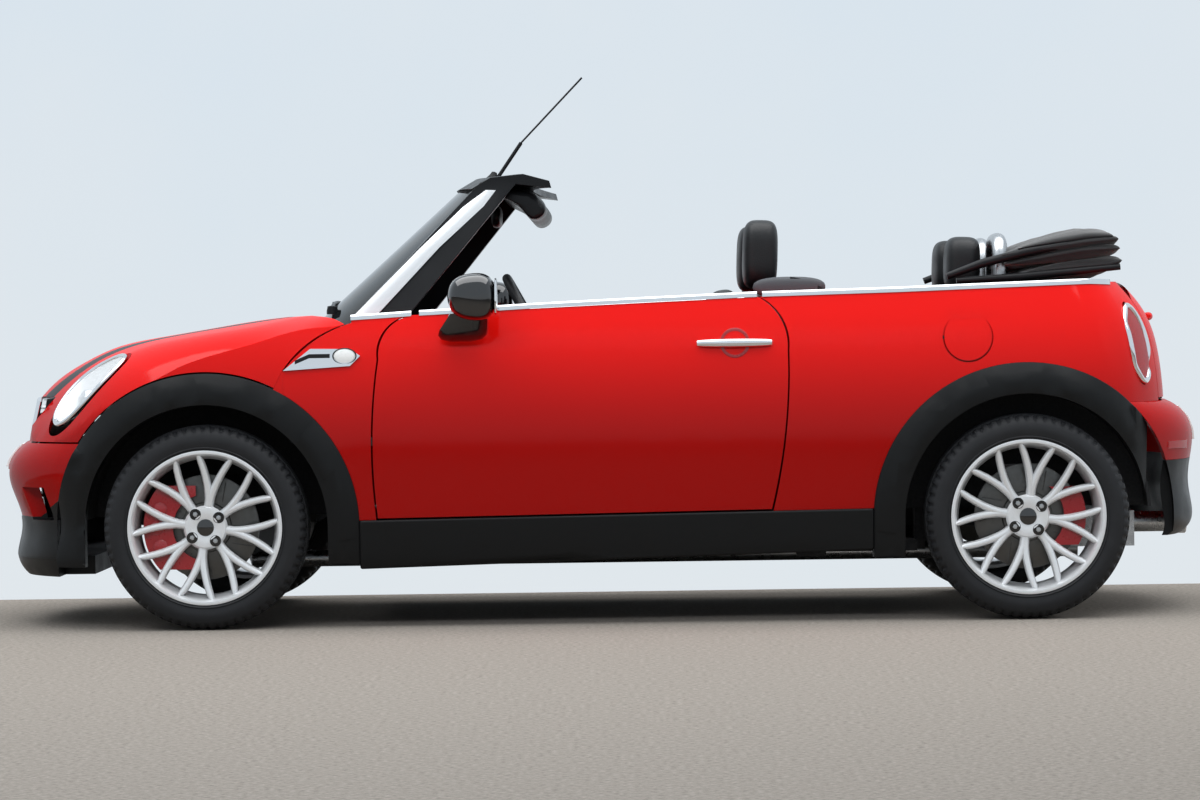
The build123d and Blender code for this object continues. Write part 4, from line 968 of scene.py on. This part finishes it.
def paintedShadeCupRim():
    # raised rim round the finger recess, drawn in the darker caliper red as painted shade of the recess: each
    # ring's share of the radius and its height off the door
    centre, z = handleCupPaintedShade["centre"], handleSizes["z"]
    flat = []
    for share, _ in handleCupPaintedShade["rings"]:
        r = handleCupPaintedShade["radius"] * share
        flat.append([mm(centre + r * math.cos(a), 1100, z + r * math.sin(a))
                     for a in (2 * math.pi * k / 48 for k in range(48))])
    rows = castGrid(skinTree, flat, (0, -1, 0), 0.0)
    for row, (_, lift) in zip(rows, handleCupPaintedShade["rings"]):
        for p in row:
            p.y += lift
    return thickened(rows, mm(0, -handleCupPaintedShade["thick"], 0), closed=True)


def addDoorFittings(side, factor):
    # the handle cup takes the darker caliper red as painted shade of the finger recess
    parts = (("mirrorCap", mirrorBody(), glossBlack), ("mirrorFoot", mirrorFoot(), glossBlack),
             ("mirrorGlass", softBox(mm(*mirrorGlass[0]), mm(*mirrorGlass[1]), 5, 4), chrome),
             ("doorHandle", doorHandle(), chrome), ("handleCupPaintedShade", paintedShadeCupRim(), caliperRed))
    for label, bm, material in parts:
        copy = bm if factor > 0 else mirrored(bm)
        piece = finishPiece(label + "_" + side, copy, material, "door_" + side, 40)
        if label == "mirrorCap":
            smoothed(piece)
            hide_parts("door_fittings_" + side)


addDoorFittings("left", 1)
addDoorFittings("right", -1)
print("door fittings done")

seatPads = {
    # label, low and high corners from the seat's middle, squareness, lean in degrees, cuts, crown
    "front": (
        ("Cushion", (-400, -165, 400), (85, 165, 560), 4.0, 4, 7, 0.0),
        ("ThighInner", (-395, -246, 395), (70, -150, 588), 3.0, 4, 7, 0.0),
        ("WingInner", (-505, -238, 520), (-368, -146, 930), 2.8, -9, 7, 0.0),
        ("ThighOuter", (-395, 150, 395), (70, 246, 588), 3.0, 4, 7, 0.0),
        ("WingOuter", (-505, 146, 520), (-368, 238, 930), 2.8, -9, 7, 0.0),
        ("Back", (-520, -170, 500), (-400, 170, 1010), 3.6, -8, 7, 0.004),
        ("Headrest", (-556, -128, 1004), (-448, 128, 1218), 4.2, 2, 8, 0.0),
    ),
    "rear": (
        ("Cushion", (-1040, -225, 420), (-702, 225, 560), 3.8, 6, 7, 0.0),
        ("Back", (-1130, -228, 520), (-1010, 228, 985), 3.8, -9, 7, 0.0),
        ("Headrest", (-1188, -122, 992), (-1080, 122, 1160), 4.0, 2, 8, 0.0),
    ),
}
headPosts = {"front": (60, (-512, 985), (-508, 1060)), "rear": (55, (-1140, 950), (-1136, 1010))}
# hard back of the front seat: rear, half width and bottom; front and top; degrees it leans back
seatShell = {"low": (-548, 220, 300), "high": (-452, 990), "lean": 6}
seatSeam = {"x": -503, "z": 1128, "half": 119, "rise": 82, "power": 0.62}
frontSeatY = 370
rearSeatY = 270


def stuffed(name, low, high, power, lean, cuts, crown):
    # a sewn pad: full in the middle and drawn in at the seams, leaning back by lean degrees about its foot
    bm = softBox(low, high, power, cuts)
    middle = (low + high) / 2
    turn = Matrix.Rotation(math.radians(-lean), 3, "Y")
    foot = Vector((middle.x, middle.y, low.z))
    for vert in bm.verts:
        across = (vert.co.y - middle.y) / (high.y - low.y) * 2
        vert.co.x += crown * (1 - across * across)
        vert.co = foot + turn @ (vert.co - foot)
    piece = finishPiece(name, bm, leather, "body", 80)
    smoothed(piece)
    return piece


def addPads(name, y, end):
    pads = []
    for label, low, high, power, lean, cuts, crown in seatPads[end]:
        corners = [mm(x, y + dy, z) for x, dy, z in (low, high)]
        pads.append(stuffed(name + label, *corners, power, lean, cuts, crown))
    apart, (footX, footZ), (topX, topZ) = headPosts[end]
    for letter, dy in (("A", -apart), ("B", apart)):
        post = tube([mm(footX, y + dy, footZ), mm(topX, y + dy, topZ)], 0.007, 16)
        finishPiece(name + "Post" + letter, post, satinSteel, "body")
    return pads[0]


def addShell(name, low, high, power, cuts):
    return finishPiece(name, softBox(mm(*low), mm(*high), power, cuts), cabinPlastic, "body",
                       50)


def addFrontSeat(side, factor):
    y = frontSeatY * factor
    name = "frontSeat" + side
    cushion = addPads(name, y, "front")
    (rear, half, bottom), (front, top) = seatShell["low"], seatShell["high"]
    shell = softBox(mm(rear, y - half, bottom), mm(front, y + half, top), 5.0, 7)
    foot = mm((rear + front) / 2, y, bottom)
    turn = Matrix.Rotation(math.radians(-seatShell["lean"]), 3, "Y")
    for vert in shell.verts:
        vert.co = foot + turn @ (vert.co - foot)
    smoothed(finishPiece(name + "Shell", shell, cabinPlastic, "body", 80))
    addShell(name + "Base", (-400, y - 205, 236), (60, y + 205, 420), 6.0, 4)
    seam = []
    for a in (2 * math.pi * k / 32 for k in range(33)):
        seam.append(mm(seatSeam["x"], y + seatSeam["half"] * signedPower(math.cos(a), seatSeam["power"]),
                       seatSeam["z"] + seatSeam["rise"] * signedPower(math.sin(a), seatSeam["power"])))
    finishPiece(name + "Seam", tube(seam, 0.0026, 8), cabinPlastic, "body")
    return cushion


frontCushion = addFrontSeat("Left", 1)
addFrontSeat("Right", -1)
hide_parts("front_seats")


def addBench():
    cushions = [addPads("rearSeat" + side, rearSeatY * factor, "rear")
                for side, factor in (("Left", 1), ("Right", -1))]
    addShell("rearSeatBase", (-1060, -500, 236), (-710, 500, 430), 8.0, 4)
    addShell("rearSeatBridge", (-1040, -42, 300), (-720, 42, 545), 5.0, 4)
    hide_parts("rear_bench")


addBench()
print("seats done")


rolloverSizes = {"x": -1240, "y": 330, "half": 132, "foot": 1013, "spring": 1060, "rise": 85, "radius": 0.024}


def addRollover():
    for side, factor in (("Left", 1), ("Right", -1)):
        x, y, half = rolloverSizes["x"], rolloverSizes["y"] * factor, rolloverSizes["half"]
        path = [mm(x, y + half, rolloverSizes["foot"])]
        for k in range(21):
            a = math.pi * k / 20
            path.append(mm(x, y + half * signedPower(math.cos(a), 0.5),
                           rolloverSizes["spring"] + rolloverSizes["rise"] * math.sin(a) ** 0.6))
        path.append(mm(x, y - half, rolloverSizes["foot"]))
        bar = tube(path, rolloverSizes["radius"], 20)
        finishPiece("rolloverBar" + side, bar, satinSteel, "body")
    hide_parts("rollover_bars")


addRollover()

topSizes = {
    # side view of each fold: its middle line, half thickness, half width across the car
    "folds": (
        ("Lower", ((-1290, 1038), (-1420, 1052), (-1540, 1062), (-1606, 1076)), (26, 32, 34, 30), 545),
        ("Second", ((-1250, 1070), (-1390, 1094), (-1520, 1106), (-1600, 1112)), (26, 32, 34, 32), 550),
        ("Third", ((-1240, 1096), (-1380, 1118), (-1500, 1134), (-1596, 1140)), (20, 30, 36, 40), 552),
        ("Upper", ((-1290, 1116), (-1400, 1136), (-1500, 1148), (-1580, 1150)), (13, 22, 30, 36), 546),
    ),
    "rows": 46, "round": 20,
}


def foldMesh(line, thick, half, seed):
    # one folded layer: a rounded slab whose cloth sags and puckers between its seams
    rng = random.Random(seed)
    waves = [(rng.uniform(2, 11), rng.uniform(0, 6.28), rng.uniform(0.0008, 0.0022)) for _ in range(7)]
    rings = []
    rows, count = topSizes["rows"], topSizes["round"]
    for i in range(rows + 1):
        across = -1 + 2 * i / rows
        pinch = (1 - abs(across) ** 7) ** 0.5 if abs(across) < 1 else 0.0
        pinch = max(pinch, 0.12)
        ring = []
        for k in range(2 * count):
            s = k / count if k < count else (2 * count - k) / count
            up = 1 if k < count else -1
            s = (1 - math.cos(math.pi * s)) / 2
            place = s * (len(line) - 1)
            n = min(int(place), len(line) - 2)
            f = place - n
            x = line[n][0] + (line[n + 1][0] - line[n][0]) * f
            z = line[n][1] + (line[n + 1][1] - line[n][1]) * f
            t = thick[n] + (thick[n + 1] - thick[n]) * f
            bulge = max(0.0, math.sin(math.pi * min(max(s, 0.0), 1.0))) ** 0.35
            ripple = sum(a * math.sin(w * across * 3 + p + s * 5) for w, p, a in waves)
            rise = up * (t / 1000) * bulge * pinch + ripple * bulge
            ring.append(mm(x, half * across, z) + Vector((0, 0, rise)))
        rings.append(ring)
    return loftRings(rings)


softTopBars = (
    # name, side view of the bar, distance from the middle at each point, radii
    ("softTopLink", ((-1072, 1034), (-1180, 1072), (-1310, 1104), (-1440, 1126)), (536, 538, 540, 540),
     [0.011, 0.014, 0.014, 0.010]),
    ("softTopRail", ((-1100, 1020), (-1300, 1030), (-1600, 1056)), (540, 542, 540), [0.010, 0.013, 0.010]),
)


def addSoftTop():
    for n, (label, line, thick, half) in enumerate(topSizes["folds"]):
        finishPiece("softTop" + label, foldMesh(line, thick, half, n + 3), hoodCloth, "body",
                                 80)
    for side, factor in (("Left", 1), ("Right", -1)):
        for name, line, apart, radii in softTopBars:
            bar = tube([mm(x, factor * y, z) for (x, z), y in zip(line, apart)], radii, 12)
            finishPiece(name + side, bar, smoothPlastic, "body")
    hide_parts("soft_top")


addSoftTop()
print("soft top done")

steer = {"centre": mm(197, 370, 897), "axis": Vector((-0.882948, 0, 0.469472)), "radius": 0.172,
         "grip": 0.0145}
steeringSpokes = {"turns": (0, 180, 270), "widths": ((0.035, 0.024), (0.09, 0.017), (0.165, 0.013)),
                  "dish": 0.010, "half": 0.006}


def addSteeringWheel():
    axis, centre = steer["axis"], steer["centre"]
    across = Vector((0, 1, 0))
    rise = axis.cross(across).normalized()
    rise = rise if rise.z > 0 else -rise
    ring = [centre + (across * math.cos(a) + rise * math.sin(a)) * steer["radius"]
            for a in (2 * math.pi * k / 72 for k in range(72))]
    grip = tube(ring, steer["grip"], 16, closed=True)
    rim = finishPiece("steeringRim", grip, leather, "steering_wheel")
    for letter, degrees in zip("ABC", steeringSpokes["turns"]):
        a = math.radians(degrees)
        out = across * math.cos(a) + rise * math.sin(a)
        side = axis.cross(out).normalized()
        rings = []
        for r, w in steeringSpokes["widths"]:
            point = centre + out * r - axis * (steeringSpokes["dish"] * (1 - r / steer["radius"]))
            rings.append([point + side * w * u + axis * steeringSpokes["half"] * v
                          for u, v in ((-1, -1), (-0.8, 1), (0.8, 1), (1, -1))])
        finishPiece("steeringSpoke" + letter, loftRings(rings), satinSteel, "steering_wheel")
    profile = [(0.0, 0.022), (0.030, 0.020), (0.052, 0.012), (0.058, 0.0), (0.050, -0.018), (0.024, -0.055),
               (0.0, -0.055)]
    finishPiece("steeringHub", lathe(profile, centre, 48, axis=axis), cabinPlastic, "steering_wheel")
    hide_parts("steering_wheel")


addSteeringWheel()


ventSpots = {"across": (-560, -190, 190, 560), "x": 344, "z": 850}
ventRing = [(0.028, 0.0), (0.036, 0.004), (0.040, 0.0), (0.038, -0.006), (0.028, -0.006)]
ventCore = [(0.0, 0.0), (0.028, 0.0), (0.028, -0.006), (0.0, -0.006)]
dialPlace = mm(334, 0, 850)
dialProfile = [(0.0, 0.010), (0.098, 0.008), (0.104, 0.014), (0.112, 0.010), (0.112, -0.01), (0.0, -0.01)]
dialHub = [(0.0, 0.016), (0.010, 0.014), (0.010, 0.008), (0.0, 0.008)]
roundedParts = (
    # name, low and high corners, squareness, cuts, material, hard edge
    ("gearKnob", (26, -22, 580), (72, 22, 628), 2.3, 4, leather, 35),
    ("gearBoot", (0, -46, 470), (112, 46, 528), 2.6, 4, leather, 35),
    ("cabinMirror", (300, -112, 1216), (334, 112, 1284), 3.4, 5, smoothPlastic, 60),
    ("beltOutletLeft", (-694, 648, 975), (-474, 696, 1038), 2.6, 6, greyPlastic, 60),
    ("beltOutletRight", (-694, -696, 975), (-474, -648, 1038), 2.6, 6, greyPlastic, 60),
)
headerLine = ((332, 1330), (280, 1312), (244, 1286), (224, 1250), (198, 1242), (170, 1258), (162, 1284),
              (180, 1308), (212, 1336), (300, 1348))
headerSizes = {"half": 560, "middle": (238, 1262), "drop": 22, "sweep": 20, "endScale": 0.82}


def addHeaderTrim():
    # padded roof-front trim with the hood catches, hanging behind the header
    half, (middleX, middleZ) = headerSizes["half"], headerSizes["middle"]
    rings = []
    for y in (-half, 15 - half, -300, 0, 300, half - 15, half):
        scale = headerSizes["endScale"] if abs(y) == half else 1.0
        bow = (abs(y) / half) ** 2
        rings.append([mm(middleX + (x - middleX) * scale - headerSizes["sweep"] * bow, y,
                         middleZ + (z - middleZ) * scale - headerSizes["drop"] * bow) for x, z in headerLine])
    smoothed(finishPiece("headerTrim", loftRings(rings), smoothPlastic, "body", 45), 2)


def addCabin():
    def place(name, bm, material, sharp=35):
        finishPiece(name, bm, material, "body", sharp)

    for letter, y in zip("ABCD", ventSpots["across"]):
        spot = mm(ventSpots["x"], y, ventSpots["z"])
        place("ventRing" + letter, lathe(ventRing, spot, 40, closed=True, axis=(-1, 0, 0.1)), chrome)
        place("ventCore" + letter, lathe(ventCore, spot, 32, axis=(-1, 0, 0.1)), smoothPlastic)
    place("centreDial", lathe(dialProfile, dialPlace, 64, axis=(-1, 0, 0.12)), greyPlastic)
    place("dialHub", lathe(dialHub, dialPlace, 24, axis=(-1, 0, 0.12)), chrome)
    place("gearLever", tube([mm(60, 0, 478), mm(52, 0, 540), mm(48, 0, 590)], [0.008, 0.007, 0.010], 12),
          satinSteel)
    place("cabinMirrorStalk", tube([mm(330, 0, 1262), mm(372, 0, 1300)], 0.009, 12), smoothPlastic)
    for name, low, high, power, cuts, material, sharp in roundedParts:
        place(name, softBox(mm(*low), mm(*high), power, cuts), material, sharp)
    addHeaderTrim()


addCabin()
print("cabin done")

grilleBars = (
    # name, heights, how far they stand off the grille
    ("grilleBar", (598, 622, 646, 670), 0.016), ("lowerGrilleBar", (362, 398, 434), 0.012),
)
surroundEnd = [(-378, 582), (-384, 630), (-372, 684), (-330, 692)]
surroundTop = [(y, 693) for y in range(-280, 281, 40)]
surroundLine = surroundEnd + surroundTop + [(-y, z) for y, z in surroundEnd[::-1]]
plateRows = {"front": (486, 512, 540, 556), "rear": (520, 550, 590, 625)}
tipProfile = [(0.031, -0.06), (0.033, 0.0), (0.036, 0.003), (0.0385, 0.0), (0.0375, -0.06)]
tailPipe = {"y": 0.180, "z": 0.262, "out": 0.004}


def addPlate(name, tree, end, factor, lift):
    # blank number plate that follows the bumper
    rows = [[mm(2200 * factor, y, z) for y in range(-256, 257, 32)] for z in plateRows[end]]
    bm = slabOn(tree, rows, (-factor, 0, 0), lift, 0.001)
    finishPiece(name, bm, whiteLens, "body", 30, 0.001)


def addNose():
    grilleTree = surfaceTree("grille")
    for name, heights, lift in grilleBars:
        for letter, z in zip("ABCD", heights):
            rows = [[mm(2200, y, z + dz) for y in range(-372, 373, 31)] for dz in (-5, 0, 5)]
            bm = slabOn(grilleTree, rows, (-1, 0, 0), lift, 0.002)
            material = chrome if name + letter == "grilleBarD" else smoothPlastic
            finishPiece(name + letter, bm, material, "body", 30, 0.002)
    points = castGrid(grilleTree, [[mm(2200, y, z) for y, z in surroundLine]], (-1, 0, 0), 0.022)[0]
    finishPiece("grilleSurround", tube(points, 0.0085, 12), chrome, "body")
    addPlate("frontPlate", surfaceTree("grille", "front_bumper", "bonnet"), "front", 1, 0.008)


def addTail():
    rearTree = surfaceTree("rear_bumper", "tailgate", "rear_valance")
    addPlate("rearPlate", rearTree, "rear", -1, 0.007)
    grip = castGrid(rearTree, [[mm(-2200, y, 905) for y in range(-160, 161, 20)]], (1, 0, 0), 0.012)[0]
    finishPiece("bootHandle", tube(grip, [0.006] + [0.013] * 15 + [0.006], 14), red, "tailgate")
    for side, factor in (("Left", 1), ("Right", -1)):
        rows = [[mm(-2200, factor * y, z) for y in range(500, 641, 20)] for z in (500, 512, 524)]
        bm = slabOn(rearTree, rows, (1, 0, 0), 0.004, 0.002)
        finishPiece("rearReflector" + side, bm, redLens, "body", 30, 0.001)
    place = (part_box("exhaust")[0][0] + tailPipe["out"], tailPipe["y"], tailPipe["z"])
    tip = lathe(tipProfile, place, 48, closed=True, axis=(-1, 0, 0))
    finishPiece("exhaustTip", tip, chrome, "body")


addNose()
addTail()


pivotProfile = [(0.0, 0.018), (0.015, 0.015), (0.018, 0.0), (0.018, -0.01), (0.0, -0.01)]
aerialFoot = [(0.0, 0.034), (0.008, 0.032), (0.013, 0.020), (0.022, 0.006), (0.030, -0.002), (0.0, -0.004)]


def addWipers():
    tree = surfaceTree("windscreen", "scuttle", "bonnet")
    for name, pivotY, tipY in (("Left", 300, -180), ("Right", -120, -560)):
        arm = []
        for k in range(13):
            t = k / 12
            y = pivotY + (tipY - pivotY) * t
            start = mm(840 - 70 * abs(y / 640) ** 2 - 14 * t, y, 1500)
            hit = tree.ray_cast(start, Vector((0, 0, -1)))[0] or mm(820, y, 950)
            arm.append(hit + Vector((0.0, 0, 0.012)))
        blade = tube(arm, [0.009] + [0.006] * 11 + [0.004], 10)
        finishPiece("wiperArm" + name, blade, smoothPlastic, "body")
        pivot = lathe(pivotProfile, arm[0], 24, axis=(0, 0, 1))
        finishPiece("wiperPivot" + name, pivot, smoothPlastic, "body")


addWipers()
finishPiece("antennaFoot", lathe(aerialFoot, mm(332, 0, 1362), 32, axis=(-0.3, 0, 1)), smoothPlastic, "body")
print("nose and tail done")

cameraSettings = {
    "place": (-0.1065, 13.93, 0.847),
    "lens": 131.4,           # mm on a 36 mm sensor
    "yaw": 0.429,            # degrees towards the nose
    "pitch": 0.753,          # degrees down
    "roll": 0.81,
}


def addCamera(settings):
    yaw, pitch, roll = (math.radians(settings[key]) for key in ("yaw", "pitch", "roll"))
    forward = Vector((math.sin(yaw) * math.cos(pitch), -math.cos(yaw) * math.cos(pitch), -math.sin(pitch)))
    right = forward.cross(Vector((0, 0, 1))).normalized()
    up = right.cross(forward)
    rolledRight = right * math.cos(roll) - up * math.sin(roll)
    rolledUp = up * math.cos(roll) + right * math.sin(roll)
    camera = bpy.data.cameras.new("sideCamera")
    camera.lens = settings["lens"]
    camera.sensor_width = 36
    camera.clip_end = 100
    holder = bpy.data.objects.new("sideCamera", camera)
    matrix = Matrix((rolledRight, rolledUp, -forward)).transposed().to_4x4()
    matrix.translation = Vector(settings["place"])
    holder.matrix_world = matrix
    bpy.context.scene.collection.objects.link(holder)
    bpy.context.scene.camera = holder


lampTable = (
    # name, place, size across and along, watts, colour; each faces the car's middle
    ("overheadSoftbox", (0.0, 0.8, 5.0), (9.0, 5.6), 420, "#FFFFFF"),
    ("nearSoftbox", (1.6, 7.5, 4.4), (7.0, 1.2), 250, "#F6FAFF"),
    ("rearSoftbox", (-6.0, 1.5, 2.6), (2.4, 2.0), 60, "#FFFFFF"),
    ("farSoftbox", (0.5, -6.0, 3.6), (6.0, 2.0), 240, "#FFFFFF"),
)


def addLamps():
    for name, place, size, watts, color in lampTable:
        lamp = bpy.data.lights.new(name, "AREA")
        lamp.shape = "RECTANGLE"
        lamp.size, lamp.size_y = size
        lamp.energy = watts
        lamp.color = toLinear(color)[:3]
        holder = bpy.data.objects.new(name, lamp)
        holder.location = place
        holder.visible_glossy = name == "overheadSoftbox"
        aim = Vector((0, 0, 0.5)) - Vector(place)
        holder.rotation_euler = aim.to_track_quat("-Z", "Y").to_euler()
        bpy.context.scene.collection.objects.link(holder)


def addWorld():
    # pale sky for the eye; reflections get a darker lower half, as over open asphalt
    world = bpy.data.worlds.new("paleSky")
    world.use_nodes = True
    tree = world.node_tree
    background = tree.nodes["Background"]
    background.inputs["Strength"].default_value = 1.0
    output = tree.nodes["World Output"]
    coords = addNode(tree, "ShaderNodeTexCoord")
    height = addNode(tree, "ShaderNodeSeparateXYZ", {"Vector": coords.outputs["Generated"]})
    ramp = addNode(tree, "ShaderNodeMapRange", {"Value": height.outputs["Z"]},
                   {"From Min": -0.06, "From Max": 0.10, "To Min": 0.0, "To Max": 1.0})
    clouds = addNode(tree, "ShaderNodeTexNoise", {"Vector": coords.outputs["Generated"]},
                     {"Scale": 9.0, "Detail": 5.0})
    sky = mixColors(tree, ramp.outputs["Result"], "#DDE6EC", "#CFE0EE")
    veil = addNode(tree, "ShaderNodeMix", {"Factor": clouds.outputs["Fac"], "A": sky}, data_type="RGBA")
    veil.inputs["B"].default_value = toLinear("#E3E8EC")
    tree.links.new(veil.outputs["Result"], background.inputs["Color"])
    around = addNode(tree, "ShaderNodeBackground", inputs={"Strength": 0.62})
    lift = addNode(tree, "ShaderNodeMapRange", {"Value": height.outputs["Z"]},
                   {"From Min": -0.10, "From Max": 0.45, "To Min": 0.0, "To Max": 1.0})
    ambient = mixColors(tree, lift.outputs["Result"], "#4E4A46", "#E8EEF2")
    tree.links.new(ambient, around.inputs["Color"])
    path = addNode(tree, "ShaderNodeLightPath")
    seen = addNode(tree, "ShaderNodeMath", {0: path.outputs["Is Camera Ray"],
                                            1: path.outputs["Is Glossy Ray"]}, operation="MAXIMUM")
    seen = addNode(tree, "ShaderNodeMath", {0: seen.outputs[0], 1: path.outputs["Is Transmission Ray"]},
                   operation="MAXIMUM")
    pick = addNode(tree, "ShaderNodeMixShader", {0: seen.outputs[0], 1: around.outputs["Background"],
                                                 2: background.outputs["Background"]})
    tree.links.new(pick.outputs["Shader"], output.inputs["Surface"])
    bpy.context.scene.world = world


floorSizes = {"half": 30, "far": -0.95, "near": 13.5}


def addFloor():
    # rolled asphalt, pale and plain, that ends just behind the car
    material, tree, shader, coords = newMaterial("paleAsphalt", "#A9A39B", 0.95, Specular_IOR_Level=0.1)
    stones = addNode(tree, "ShaderNodeTexNoise", {"Vector": coords},
                     {"Scale": 70.0, "Detail": 8.0, "Roughness": 0.7})
    spread = addNode(tree, "ShaderNodeMapRange", {"Value": stones.outputs["Fac"]},
                     {"From Min": 0.3, "From Max": 0.7, "To Min": 0.0, "To Max": 1.0})
    tone = mixColors(tree, spread.outputs["Result"], "#716C66", "#A39C94")
    tree.links.new(tone, shader.inputs["Base Color"])
    addBump(tree, shader, stones.outputs["Fac"], 0.4, 0.004)
    bm = bmesh.new()
    bmesh.ops.create_grid(bm, x_segments=1, y_segments=1, size=1)
    for vert in bm.verts:
        vert.co.x *= floorSizes["half"]
        vert.co.y = floorSizes["near"] if vert.co.y > 0 else floorSizes["far"]
    mesh = bpy.data.meshes.new("floor")
    bm.to_mesh(mesh)
    bm.free()
    mesh.materials.append(material)
    floor = bpy.data.objects.new("floor", mesh)
    bpy.context.scene.collection.objects.link(floor)


addCamera(cameraSettings)
addLamps()
addWorld()
addFloor()
bpy.context.scene.view_settings.view_transform = "Standard"
print("scene done")
